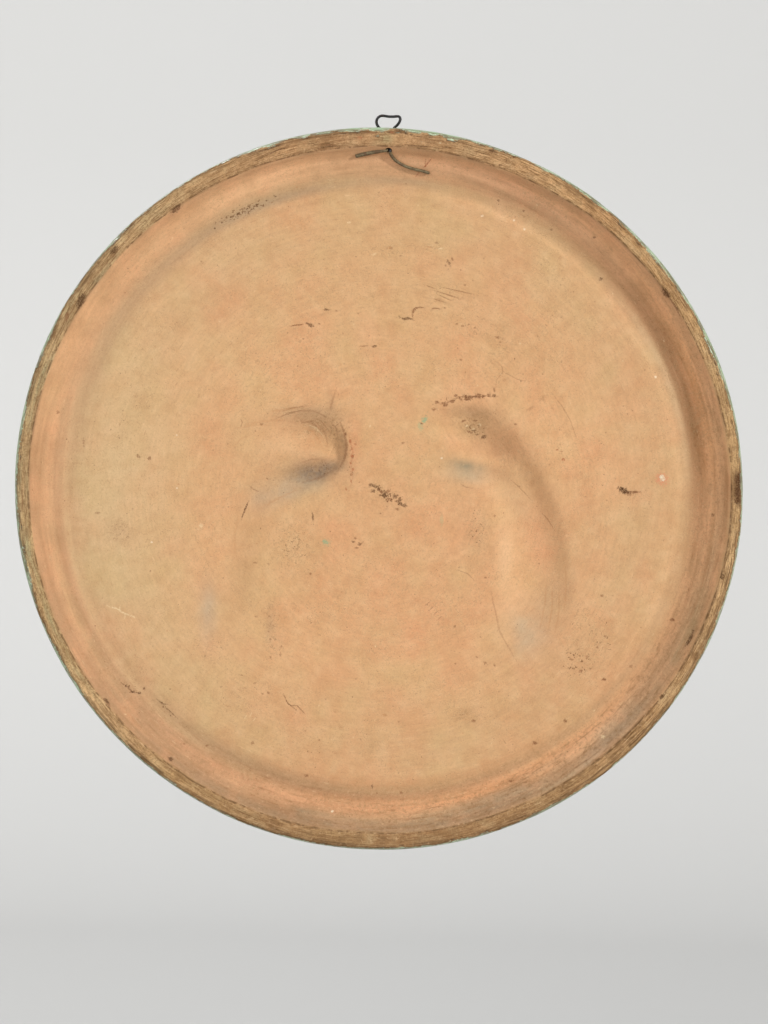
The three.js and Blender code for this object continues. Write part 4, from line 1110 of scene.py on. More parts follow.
# Place in the rear view, half length, half width, turn in degrees, tone, share, depth in mm.
MARKS = [
    (625, 490.6, 5.2, 2.7, -18, "dark", 1.0, 0.6), (634.5, 492.2, 7.2, 1.2, 2, "brown", 0.85, 0.3),
    (630, 494.6, 4.0, 1.4, -8, "brown", 0.5, 0.1),
    (663, 479, 6.0, 6.0, 0, "pink", 0.75, 0.0), (663.4, 478, 2.5, 2.7, 0, "white", 1.0, -0.2),
    (312.5, 517.5, 1.1, 3.6, 6, "dark", 0.75, 0.2),
    (326, 543, 4.4, 3.6, 0, "green", 0.30, 0.0), (325.5, 542, 3.0, 1.8, -20, "green", 0.9, -0.1),
    (424.5, 419.5, 3.6, 2.3, 60, "green", 0.9, -0.1), (421.8, 423, 1.5, 1.1, 0, "dark", 0.75, 0.1),
    (420.5, 426.5, 2.4, 4.2, 25, "green", 0.50, 0.0), (442, 520, 1.6, 5.0, 0, "green", 0.35, 0.0),
    (403, 443, 1.6, 1.2, 0, "brown", 0.6, 0.1), (261, 424, 1.4, 1.2, 0, "brown", 0.6, 0.1),
    (254.5, 563, 1.8, 0.9, 0, "brown", 0.55, 0.1), (268, 564, 1.4, 0.8, 0, "brown", 0.5, 0.1),
    (310, 574, 1.4, 1.1, 0, "brown", 0.6, 0.1), (255.5, 617, 1.5, 1.1, 0, "brown", 0.6, 0.1),
    (442, 458, 1.0, 0.9, 0, "white", 0.6, 0.0),
    # Curled bits of skin in the right hollow.
    (464, 420.5, 2.4, 1.0, 20, "brown", 0.8, 0.1), (470, 431.5, 2.6, 1.0, -24, "brown", 0.8, 0.1),
    (476, 420, 2.4, 0.9, 8, "brown", 0.7, 0.1), (484.5, 436.5, 2.8, 1.7, 30, "dark", 0.8, 0.15),
    (467.5, 425.5, 1.8, 1.0, 12, "pale", 0.6, 0.0), (474, 428.6, 2.0, 1.0, 30, "pale", 0.6, 0.0),
    (480.5, 424, 1.8, 0.9, -34, "pale", 0.5, 0.0), (478, 434, 2.2, 0.8, 10, "dark", 0.6, 0.1),
    (466, 428.6, 1.2, 0.8, 0, "dark", 0.6, 0.1), (487, 430, 1.2, 1.6, 20, "brown", 0.6, 0.1),
    # A clump of dark lumps in the middle.
    (370.5, 485, 2.2, 1.8, 0, "dark", 0.70, 0.25), (376, 486.5, 3.0, 1.8, -30, "dark", 0.70, 0.3),
    (373, 491, 2.2, 1.7, 0, "dark", 0.70, 0.25), (380.5, 491, 3.2, 2.0, -40, "brown", 0.85, 0.3),
    (384.5, 495.5, 2.4, 1.8, -40, "dark", 0.70, 0.3), (389, 499, 2.6, 1.8, 0, "brown", 0.8, 0.25),
    (388.5, 491, 1.8, 1.3, 0, "brown", 0.75, 0.2), (395, 496.5, 2.8, 2.0, 20, "dark", 0.70, 0.3),
    (399.5, 502.5, 3.0, 1.9, -35, "dark", 0.70, 0.3), (404.5, 505.5, 2.4, 1.7, -10, "dark", 0.70, 0.3),
    (397, 509, 2.0, 1.3, -20, "brown", 0.75, 0.2), (373, 499, 1.8, 1.2, 0, "dark", 0.75, 0.2),
    (381, 504.5, 1.3, 1.0, 0, "brown", 0.7, 0.1), (380.5, 513.5, 1.3, 1.0, 0, "brown", 0.7, 0.1),
    (353, 542, 1.6, 1.1, 0, "dark", 0.75, 0.2), (359.5, 544.5, 1.9, 1.2, 20, "dark", 0.75, 0.2),
    (355, 538.5, 1.4, 1.0, 0, "brown", 0.7, 0.1), (356.5, 548, 2.0, 1.0, 10, "brown", 0.7, 0.1),
    # Rust-brown dots beside the left hollow.
    (350, 441, 1.3, 1.8, 0, "rust", 0.85, 0.1), (351.5, 448, 1.1, 1.5, 0, "rust", 0.85, 0.1),
    (352, 456, 1.4, 1.4, 0, "rust", 0.85, 0.1), (350.5, 463, 1.0, 1.2, 0, "rust", 0.7, 0.1),
    (352.8, 469, 1.1, 1.5, 0, "rust", 0.85, 0.1), (351, 474.5, 1.0, 1.2, 20, "brown", 0.7, 0.1),
    (351, 481, 1.2, 1.8, 0, "rust", 0.85, 0.1), (346, 489, 1.1, 1.4, 30, "rust", 0.8, 0.1),
    (355, 444, 1.0, 1.2, 0, "rust", 0.6, 0.1), (345.5, 434, 1.1, 1.6, 0, "brown", 0.7, 0.1),
    # Scribbles and specks above.
    (326, 308.6, 3.0, 1.3, -8, "dark", 0.8, 0.25), (336.4, 310, 1.6, 0.9, 0, "brown", 0.6, 0.1),
    (319, 323, 1.4, 0.9, 0, "brown", 0.6, 0.1), (445, 307, 1.1, 0.8, 0, "brown", 0.6, 0.1),
    (465, 284, 1.2, 1.0, 0, "brown", 0.6, 0.1), (440, 299, 4.0, 2.0, -10, "brown", 0.3, 0.0),
    (374, 345.5, 2.2, 1.2, 0, "dark", 0.8, 0.2),
    (457, 323, 1.2, 0.9, 0, "brown", 0.6, 0.1), (463, 325, 1.5, 1.0, 0, "brown", 0.6, 0.1),
    (469, 323.5, 1.1, 0.8, 0, "brown", 0.6, 0.1), (475, 327, 1.2, 0.9, 0, "brown", 0.6, 0.1),
    (498, 337, 1.6, 1.1, 0, "brown", 0.7, 0.1), (500.5, 341.4, 1.0, 0.8, 0, "brown", 0.6, 0.1),
    (461, 359, 1.5, 1.1, 0, "brown", 0.6, 0.1), (497, 336, 3.0, 0.7, 0, "brown", 0.4, 0.1),
    # Lumps above the right hollow.
    (437, 402, 2.1, 1.6, 0, "brown", 0.8, 0.2), (446, 404.5, 2.2, 1.7, 0, "brown", 0.8, 0.2),
    (453, 401, 2.2, 1.7, 0, "brown", 0.85, 0.2), (456, 395, 1.9, 1.5, 0, "brown", 0.8, 0.2),
    (467.4, 397.2, 3.9, 2.7, -12, "brown", 0.95, 0.3), (478.2, 395.8, 3.8, 2.4, 8, "brown", 0.8, 0.3),
    (472.5, 396.6, 2.0, 1.2, 0, "brown", 0.7, 0.2), (483.5, 395.6, 2.2, 1.3, 0, "brown", 0.75, 0.2),
    (461, 399, 1.8, 1.1, -20, "brown", 0.7, 0.2), (494.5, 389, 0.9, 2.2, 6, "dark", 0.6, 0.1),
    (443, 403, 2.4, 1.1, 15, "brown", 0.6, 0.1), (434, 409, 1.9, 1.5, 0, "brown", 0.7, 0.1),
    (489, 394.6, 2.2, 1.7, 0, "brown", 0.8, 0.2), (494.5, 395, 1.7, 1.5, 0, "dark", 0.7, 0.2),
    (531, 408, 4.0, 1.5, 30, "brown", 0.35, 0.05), (543, 398, 4.0, 1.5, 40, "brown", 0.3, 0.05),
    (516, 424, 1.8, 1.3, 0, "brown", 0.6, 0.1), (495, 516, 1.4, 1.1, 0, "brown", 0.6, 0.1),
    (558, 449.5, 1.5, 1.3, 0, "rust", 0.8, 0.1), (564, 459.5, 1.5, 1.3, 0, "rust", 0.8, 0.1),
    (486, 578, 1.5, 1.2, 0, "brown", 0.6, 0.1), (455, 627, 1.5, 1.2, 0, "brown", 0.6, 0.1),
    (477, 658, 1.3, 1.0, 0, "brown", 0.6, 0.1), (485, 663, 1.6, 1.1, 0, "brown", 0.65, 0.1),
    (495, 666, 1.3, 1.0, 0, "brown", 0.6, 0.1), (572, 660, 1.5, 1.2, 0, "brown", 0.65, 0.1),
    (581, 672, 1.8, 1.2, 30, "brown", 0.65, 0.1), (588, 657, 1.3, 1.0, 0, "brown", 0.6, 0.1),
    (598, 648, 1.5, 1.1, 0, "brown", 0.65, 0.1), (606, 637, 1.4, 1.1, 0, "brown", 0.6, 0.1),
    (603, 596, 1.7, 1.4, 0, "brown", 0.7, 0.1), (632, 667, 1.6, 1.4, 0, "brown", 0.6, 0.1),
    (498.8, 199, 1.5, 1.2, 0, "dark", 0.7, 0.1), (524, 209.6, 1.3, 1.1, 0, "dark", 0.6, 0.1),
    (551.7, 228.6, 1.3, 1.1, 0, "dark", 0.6, 0.1), (594.5, 237, 1.4, 1.1, 0, "dark", 0.65, 0.1),
    (514.5, 219, 1.1, 1.1, 0, "white", 0.8, 0.0), (525, 228, 1.1, 1.1, 0, "white", 0.7, 0.0),
    (482.5, 214.6, 1.4, 1.2, 0, "white", 0.7, 0.0), (656.8, 376.4, 1.1, 1.1, 0, "white", 0.9, 0.0),
    (332, 812, 1.4, 1.1, 0, "white", 1.0, -0.1), (603, 737, 2.0, 1.5, 0, "pale", 0.8, 0.0),
    (673, 620, 2.3, 1.7, 0, "brown", 0.8, 0.2), (605, 680, 2.1, 1.8, 0, "brown", 0.85, 0.2),
    (535.5, 744, 2.3, 1.8, 0, "brown", 0.8, 0.2), (566, 722, 2.0, 1.6, 0, "brown", 0.75, 0.2),
    (511, 782, 1.6, 1.3, 0, "brown", 0.7, 0.1), (401, 794, 1.6, 1.3, 0, "brown", 0.7, 0.1),
    (474, 722, 2.0, 1.5, 0, "brown", 0.7, 0.15), (252, 744, 2.0, 1.6, 0, "brown", 0.6, 0.1),
    (349, 221, 1.5, 1.2, 0, "pale", 0.8, 0.0), (391, 247, 1.8, 1.4, 0, "brown", 0.5, 0.1),
    (437, 242, 1.8, 1.0, 0, "brown", 0.55, 0.1), (602, 278, 2.0, 1.6, 0, "dark", 0.7, 0.2),
    (137, 456, 1.3, 2.4, 30, "brown", 0.7, 0.2), (148, 458, 1.7, 2.0, 0, "brown", 0.7, 0.2),
    (96, 513, 3.0, 1.1, 0, "brown", 0.6, 0.1), (82, 442, 1.0, 4.5, 6, "brown", 0.45, 0.1),
    (57, 412, 1.5, 1.5, 0, "brown", 0.6, 0.1), (151, 542, 1.2, 1.0, 0, "white", 0.8, 0.0),
    (176, 435, 0.9, 0.9, 0, "white", 0.7, 0.0), (176, 488, 0.9, 0.9, 0, "white", 0.7, 0.0),
    (200, 526, 1.8, 2.4, 0, "pale", 0.6, 0.0), (713, 515, 1.5, 1.5, 0, "dark", 0.6, 0.2),
    (385, 716, 2.0, 1.5, 0, "sand", 0.6, 0.1), (372, 788, 1.0, 2.2, 0, "dark", 0.6, 0.2),
    (306, 777, 2.0, 1.3, 0, "brown", 0.6, 0.2),
    (449, 262, 1.4, 3.6, 32, "dark", 0.65, 0.15), (452.4, 258, 0.9, 1.6, 30, "brown", 0.6, 0.1),
    (445.8, 264.6, 1.1, 1.2, 0, "brown", 0.55, 0.1), (400.5, 254.5, 1.3, 1.0, 0, "brown", 0.5, 0.1),
    (389.5, 246.5, 2.8, 1.1, 20, "sand", 0.6, 0.1), (430, 246, 3.0, 0.8, -12, "sand", 0.6, 0.1),
    (441, 247.4, 2.6, 0.8, 14, "pale", 0.6, 0.0), (374, 253, 3.0, 1.0, 24, "pale", 0.5, 0.0),
    # A scatter of black specks at the upper left.
    (214, 227, 1.0, 0.8, 0, "dark", 0.8, 0.1), (221, 221, 1.3, 0.9, 30, "dark", 0.8, 0.1),
    (230, 216, 0.9, 0.8, 0, "dark", 0.75, 0.1), (237, 212, 1.2, 0.9, 0, "dark", 0.8, 0.1),
    (247, 207, 1.0, 0.8, 0, "dark", 0.75, 0.1), (256, 203, 1.3, 0.9, 0, "dark", 0.8, 0.1),
    (266, 199, 0.9, 0.8, 0, "dark", 0.75, 0.1), (275, 195, 1.1, 0.8, 0, "dark", 0.7, 0.1),
    # Specks of the lower left.
    (269, 617, 1.1, 0.9, 0, "brown", 0.6, 0.1), (274, 616, 1.0, 0.8, 0, "brown", 0.5, 0.1),
    (268, 632, 1.0, 0.9, 0, "brown", 0.55, 0.1), (269.5, 640, 1.1, 1.6, 10, "brown", 0.55, 0.1),
    (281, 647, 0.9, 1.4, 20, "brown", 0.55, 0.1), (280, 655, 0.9, 1.8, 0, "brown", 0.5, 0.1),
    (270, 658, 1.1, 1.0, 0, "brown", 0.6, 0.1), (273, 626, 1.2, 0.9, 0, "brown", 0.4, 0.1),
    (206, 746.8, 1.6, 1.1, 20, "brown", 0.65, 0.1), (183.5, 744.5, 1.2, 1.0, 0, "brown", 0.5, 0.1),
    (109, 703, 1.3, 3.0, 35, "dark", 0.6, 0.15), (131.5, 692.5, 2.2, 1.1, 10, "dark", 0.75, 0.2),
    (138.5, 693.6, 2.4, 1.1, 0, "dark", 0.75, 0.2), (143, 689.5, 1.2, 1.4, 30, "dark", 0.65, 0.15),
    (125, 686, 1.4, 1.0, 40, "dark", 0.6, 0.15), (241, 676, 1.3, 0.8, 0, "brown", 0.5, 0.1),
    (254, 684, 1.5, 0.9, 20, "brown", 0.5, 0.1), (262, 694.5, 1.5, 0.9, 0, "brown", 0.5, 0.1),
    (268, 693.8, 1.8, 1.0, 0, "brown", 0.65, 0.1), (244, 688.5, 1.4, 0.8, -20, "brown", 0.45, 0.1),
    (245, 718, 0.6, 2.4, -30, "pale", 0.5, 0.0), (250, 716, 0.6, 2.8, -20, "pale", 0.5, 0.0),
    (254, 720, 0.6, 2.2, -30, "pale", 0.5, 0.0), (319, 741, 1.2, 1.0, 0, "brown", 0.55, 0.1),
    # Knocks of the ring near the hanging hole.
    (400, 131.6, 6.0, 1.4, 2, "dark", 0.85, 0.15), (360, 139, 2.6, 1.8, 0, "rust", 0.5, 0.1),
    (350, 141, 1.6, 1.2, 0, "brown", 0.55, 0.1), (440, 144.4, 1.2, 1.0, 0, "pale", 0.8, 0.0),
    (500, 166.4, 2.0, 1.2, 20, "dark", 0.75, 0.15), (516, 157.4, 6.5, 1.2, 16, "dark", 0.85, 0.15),
    (392, 133.5, 2.2, 1.2, 0, "rust", 0.6, 0.1), (372, 134, 5.0, 1.2, -2, "brown", 0.6, 0.1),
    (446, 136, 4.0, 1.0, 8, "brown", 0.6, 0.1), (330, 146, 5.0, 1.0, -5, "brown", 0.55, 0.1),
    # Chips and knocks on the foot ring.
    (82, 301, 3.4, 7.5, -22, "dark", 0.95, 0.35), (68, 317, 2.6, 4.5, -20, "brown", 0.8, 0.2),
    (115, 251, 5.0, 2.6, 45, "dark", 0.9, 0.25), (176, 210, 6.5, 2.6, 38, "dark", 0.9, 0.25),
    (492, 152, 4.0, 1.8, -14, "dark", 0.85, 0.2), (665.6, 294, 4.8, 2.8, -52, "dark", 0.95, 0.3),
    (661, 696, 3.0, 1.8, 42, "dark", 0.8, 0.3), (721, 576.5, 1.8, 2.8, 0, "dark", 0.85, 0.3),
    (171, 758.6, 2.4, 1.9, -30, "dark", 0.85, 0.3), (107, 700, 3.0, 1.5, -40, "dark", 0.8, 0.2),
    (737.4, 480, 3.8, 6.5, 0, "dark", 1.0, 0.15), (737.0, 492, 3.6, 6.5, 0, "dark", 1.0, 0.15),
    (736.4, 501, 4.2, 3.0, 0, "dark", 0.9, 0.15),
]
# Bent scratches and strings of dirt: places in the rear view, half width, tone, share, depth in mm.
LINES = [
    ([(241, 518), (244, 510), (247.5, 502)], 0.8, "dark", 0.8, 0.25),
    ([(289, 325.5), (295, 324.4), (303, 323.6)], 0.7, "brown", 0.8, 0.15),
    ([(305, 322), (308, 324.2), (310, 321.8), (313, 324)], 0.9, "dark", 0.8, 0.2),
    ([(400, 316), (405, 319.2), (409, 316.4), (414, 319.6)], 1.0, "dark", 0.8, 0.2),
    ([(413, 318), (412, 311), (416, 307), (423, 306.4)], 0.9, "brown", 0.8, 0.2),
    ([(431, 308.6), (435, 307), (440, 308)], 0.8, "brown", 0.7, 0.15),
    ([(425, 284), (436, 288)], 0.6, "brown", 0.6, 0.15),
    ([(445, 287), (472, 293)], 0.6, "brown", 0.55, 0.15),
    ([(436, 290), (458, 297)], 0.6, "brown", 0.55, 0.15),
    ([(438, 293.6), (452, 300)], 0.6, "brown", 0.5, 0.15),
    ([(359, 345.8), (368, 345)], 0.7, "brown", 0.6, 0.1),
    ([(495, 394), (497, 379), (504, 371), (502, 365), (493, 358)], 0.5, "brown", 0.35, 0.1),
    ([(504, 371), (518, 379), (529, 381)], 0.5, "brown", 0.3, 0.1),
    ([(552, 392), (563, 406), (571, 420), (577, 437)], 0.6, "brown", 0.3, 0.1),
    ([(512, 480), (521, 488), (532, 500)], 0.7, "brown", 0.35, 0.1),
    ([(542, 512), (549, 520), (555, 530)], 0.7, "brown", 0.35, 0.1),
    ([(457, 570), (468, 574), (476, 582)], 0.6, "brown", 0.4, 0.1),
    ([(425, 606), (430, 602)], 0.5, "brown", 0.5, 0.1),
    ([(429, 611), (434, 606.5)], 0.5, "brown", 0.5, 0.1),
    ([(433, 616), (438, 611.5)], 0.5, "brown", 0.5, 0.1),
    ([(437, 621), (442, 616.5)], 0.5, "brown", 0.5, 0.1),
    ([(121, 683.5), (127, 688), (131, 692.5), (138, 694)], 0.8, "dark", 0.55, 0.2),
    ([(155, 699.5), (161, 704.6), (167, 705.6)], 0.7, "dark", 0.5, 0.15),
    ([(163, 707), (169, 712.5), (176, 719)], 0.7, "dark", 0.5, 0.15),
    ([(107, 606.5), (116, 609), (122, 613.4), (133, 617.5)], 0.9, "pale", 0.75, 0.05),
    ([(119, 606.4), (118, 611)], 0.8, "pale", 0.5, 0.05),
    ([(124, 615), (123, 620)], 0.8, "pale", 0.4, 0.05),
    ([(693, 630.5), (689.5, 639), (685, 646.5)], 1.4, "dark", 0.85, 0.3),
    ([(283.4, 695.8), (287, 704), (296, 711)], 0.7, "brown", 0.7, 0.15),
    ([(289, 706), (299, 707)], 0.6, "brown", 0.55, 0.1),
    ([(297, 707), (304, 714)], 0.7, "brown", 0.6, 0.15),
    ([(400, 145.8), (414, 146.8), (430, 148.4)], 0.7, "dark", 0.7, 0.15),
    ([(316, 150), (329, 147.6), (342, 147.2)], 0.7, "dark", 0.6, 0.15),
    ([(270, 155.5), (279, 150.6), (287, 149)], 0.7, "dark", 0.65, 0.15),
    ([(424, 167), (427.5, 163), (431.5, 158.6)], 0.8, "rust", 0.8, 0.0),
    ([(416, 175.4), (420, 170.5)], 0.8, "rust", 0.6, 0.0),
    ([(426, 166), (425.4, 162), (425.8, 158.6)], 0.7, "rust", 0.5, 0.0),
    ([(668, 297), (676, 310), (680, 318)], 0.8, "brown", 0.6, 0.2),
    # The sharp dark line under the left hollow's steep edge, painted shade where the edge drops away, and the creases
    # beside it.
    ([(339, 420), (344, 432), (346.5, 446), (344, 459), (337.5, 470)], 1.3, "brown", 0.52, 0.1),
    ([(270, 411), (283, 409.5), (300, 406.5)], 1.0, "sand", 0.4, 0.08),
    ([(286, 414), (300, 410.5), (314, 411), (331, 419)], 1.0, "brown", 0.24, 0.1),
    ([(299, 418.5), (302, 422.5), (310, 421), (319, 429)], 1.1, "brown", 0.38, 0.12),
    ([(317.5, 424), (325, 433), (327, 445)], 1.0, "brown", 0.26, 0.1),
    ([(246, 424), (262, 421), (284, 419.5)], 1.2, "sand", 0.30, 0.06),
    ([(247, 484), (252, 489), (259, 492)], 0.7, "brown", 0.45, 0.12),
    ([(238, 516), (233, 535), (235, 556)], 1.4, "sand", 0.25, 0.05),
    ([(303, 482), (318, 478), (331, 471)], 1.2, "brown", 0.30, 0.1),
    ([(262, 507), (280, 497), (296, 490)], 1.2, "sand", 0.35, 0.06),
    ([(436, 404), (448, 402), (458, 397), (468, 396.8), (480, 395.8), (494, 396)], 1.0, "brown", 0.42, 0.12),
    ([(444, 419), (455, 415), (470, 416)], 0.7, "brown", 0.35, 0.15),
    ([(463, 423), (471, 430), (479, 432), (487, 437)], 0.8, "brown", 0.34, 0.12),
    ([(472, 488), (466, 487), (461, 484)], 0.6, "brown", 0.4, 0.1),
    ([(547, 584), (546, 604), (541, 628)], 0.9, "sand", 0.40, 0.06),
    ([(553, 588), (553, 610), (548, 634)], 0.9, "sand", 0.40, 0.06),
    ([(560, 590), (560, 612), (556, 632)], 0.9, "sand", 0.35, 0.06),
    ([(566, 566), (567, 590), (565, 612)], 0.9, "sand", 0.35, 0.06),
    ([(464, 422), (470, 419), (478, 420), (484, 425), (485, 431)], 0.8, "brown", 0.40, 0.12),
    ([(466, 427), (473, 424), (480, 428), (481, 434)], 0.7, "brown", 0.40, 0.12),
    ([(470, 421.5), (477, 425)], 1.0, "pale", 0.45, 0.0),
    ([(483, 433), (487, 438)], 1.4, "brown", 0.6, 0.15),
    ([(276, 418), (288, 413), (302, 409.5)], 0.8, "brown", 0.34, 0.1),
    ([(280, 411.6), (292, 407.5), (306, 405.6)], 0.8, "brown", 0.30, 0.1),
    ([(303, 427), (312, 431), (318, 438), (321, 446)], 1.0, "sand", 0.40, 0.06),
    ([(306, 424), (316, 427.6), (323, 436)], 0.8, "pale", 0.35, 0.0),
    ([(330, 421), (336, 428), (338, 440)], 0.8, "brown", 0.30, 0.1),
    ([(236, 428), (252, 425), (270, 425)], 1.0, "sand", 0.30, 0.05),
    ([(240, 418.5), (241.6, 422), (240, 426)], 0.6, "brown", 0.55, 0.1),
    ([(234, 446), (240, 438), (252, 434)], 1.0, "sand", 0.26, 0.05),
    ([(300, 463), (309, 459.5), (320, 459)], 0.8, "brown", 0.26, 0.08),
    ([(336, 389), (332, 400), (329, 413)], 1.1, "brown", 0.3, 0.1),
    ([(349, 436), (352.6, 452), (350.6, 466), (352.4, 478), (349, 490)], 1.0, "rust", 0.26, 0.05),
    ([(492, 595), (500, 632), (517, 662)], 0.9, "brown", 0.3, 0.1),
]
chance = np.random.default_rng(7)
for i in range(190):  # stray flecks
    a, r = chance.uniform(0, 2 * math.pi), 340 * math.sqrt(chance.uniform(0.02, 1))
    MARKS.append(
        (378.9 + r * math.cos(a), 488.7 + r * math.sin(a), chance.uniform(0.6, 1.1),
         chance.uniform(0.5, 0.85), chance.uniform(0, 180),
         ("brown", "sand", "brown", "pale")[int(chance.integers(0, 4))],
         chance.uniform(0.3, 0.65), 0.05)
    )


def along_line(points, u, v):
    """Place along a bent line, from -1 to 1, and distance to its side, both in mm and unclipped at
    the ends, with the true distance."""
    p = np.array([seen(*q) for q in points])
    seg = np.diff(p, axis=0)
    length = np.hypot(seg[:, 0], seg[:, 1])
    total, start = length.sum(), 0.0
    best = np.full(u.shape, 1e9)
    along, aside = np.zeros(u.shape), np.zeros(u.shape)
    for i, (a, s, l) in enumerate(zip(p[:-1], seg, length)):
        t = ((u - a[0]) * s[0] + (v - a[1]) * s[1]) / l
        inside = np.clip(t, 0, l)
        dist = np.hypot(u - a[0] - inside * s[0] / l, v - a[1] - inside * s[1] / l)
        lo, hi = (-1e9 if i == 0 else 0), (1e9 if i == len(seg) - 1 else l)
        closer = dist < best
        best = np.where(closer, dist, best)
        along = np.where(closer, start + np.clip(t, lo, hi), along)
        aside = np.where(closer, ((v - a[1]) * s[0] - (u - a[0]) * s[1]) / l, aside)
        start += l
    return along / total * 2 - 1, aside, best


# Painted shade on the right hollow's steep side, ending crisply on its outer side, and a thin painted dark line
# inside it.
along, aside, dist = along_line([(511, 425), (528, 454), (547, 488), (561, 520), (567, 547), (567.5, 582)], U, V)
steep_side_shade = np.where(aside > 0, np.exp(-((aside / 0.8) ** 2)), np.exp(-((aside / 6.0) ** 2)))
steep_side_shade = steep_side_shade * ramp01(np.abs(along), 1.05, 0.75) * (dist < 20)
blend("#b88a60", steep_side_shade * (0.34 + 0.20 * fold))
along, aside, dist = along_line([(497, 430), (512, 452), (530, 480), (545, 508), (551, 530)], U, V)
blend("#a87c55", 0.22 * np.exp(-((aside / 1.3) ** 2)) * ramp01(np.abs(along), 1.05, 0.7) * (dist < 12) * (1 + fold))

CHANNELS = 7
MARK_XY = [np.full((len(U), 3), [9.0, 9.0, 0.0]) for _ in range(CHANNELS)]
MARK_RGB = [np.zeros((len(U), 4)) for _ in range(CHANNELS)]
taken = [np.zeros(len(U), bool) for _ in range(CHANNELS)]
behind = (~is_front) & ~in_hole
left_out = 0


def lay_mark(support, lx, ly, name, share, depth):
    """Writes a mark's own coordinates, -1 to 1 across it, on the first free channel."""
    global left_out
    for k in range(CHANNELS):
        if not (taken[k] & support).any():
            break
    else:
        left_out += 1
        return
    taken[k] |= support
    MARK_XY[k][support] = np.stack([lx[support], ly[support], np.ones(support.sum())], -1)
    rgb = MARK_TONES[name]
    MARK_RGB[k][support] = [rgb[0], rgb[1], rgb[2], share + 10 * round((depth + 1) * 20)]


for px, py, rx, ry, turn, name, share, depth in MARKS:
    cu, cv = seen(px, py)
    c, s = math.cos(math.radians(turn)), math.sin(math.radians(turn))
    x, y = U - cu, V - cv
    lx, ly = (x * c + y * s), (y * c - x * s)
    margin = 4.4 if np.hypot(cu, cv) < 164 else 2.7
    support = (
        (np.abs(lx) < rx * VIEW_STEP + margin) & (np.abs(ly) < ry * VIEW_STEP + margin) & behind
    )
    lay_mark(support, lx / (rx * VIEW_STEP), ly / (ry * VIEW_STEP), name, share, depth)
for points, half, name, share, depth in LINES:
    along, aside, dist = along_line(points, U, V)
    margin = 4.4 if np.hypot(*seen(*points[0])) < 164 else 2.7
    lay_mark(
        (dist < half * VIEW_STEP + margin) & behind, along, aside / (half * VIEW_STEP), name, share, depth
    )
print("marks left out:", left_out)

mesh = plaque.data
mesh.calc_loop_triangles()
print("plaque triangles:", len(mesh.loop_triangles))
add_values(mesh, "tone", tone, "FLOAT_COLOR")
add_values(mesh, "glaze", GLAZE)
add_values(mesh, "foot", foot * back)
add_values(mesh, "lined", lined * back)
add_values(mesh, "ringat", np.where(back & (R > 190), np.clip(ring_at, 190, 210), 190.0))
add_values(mesh, "speckle", speckle)
add_values(mesh, "grime", grime * back)
add_values(mesh, "flaky", flaky * back)
add_values(mesh, "raised", raised)
for k in range(CHANNELS):
    add_values(mesh, f"mark{k}", MARK_XY[k], "FLOAT_VECTOR")
    add_values(mesh, f"marktone{k}", MARK_RGB[k][:, :3], "FLOAT_COLOR")
    share = MARK_RGB[k][:, 3]
    add_values(mesh, f"markshare{k}", share % 10)
    add_values(mesh, f"markdepth{k}", np.where(share > 0, (share // 10) / 20 - 1, 0))


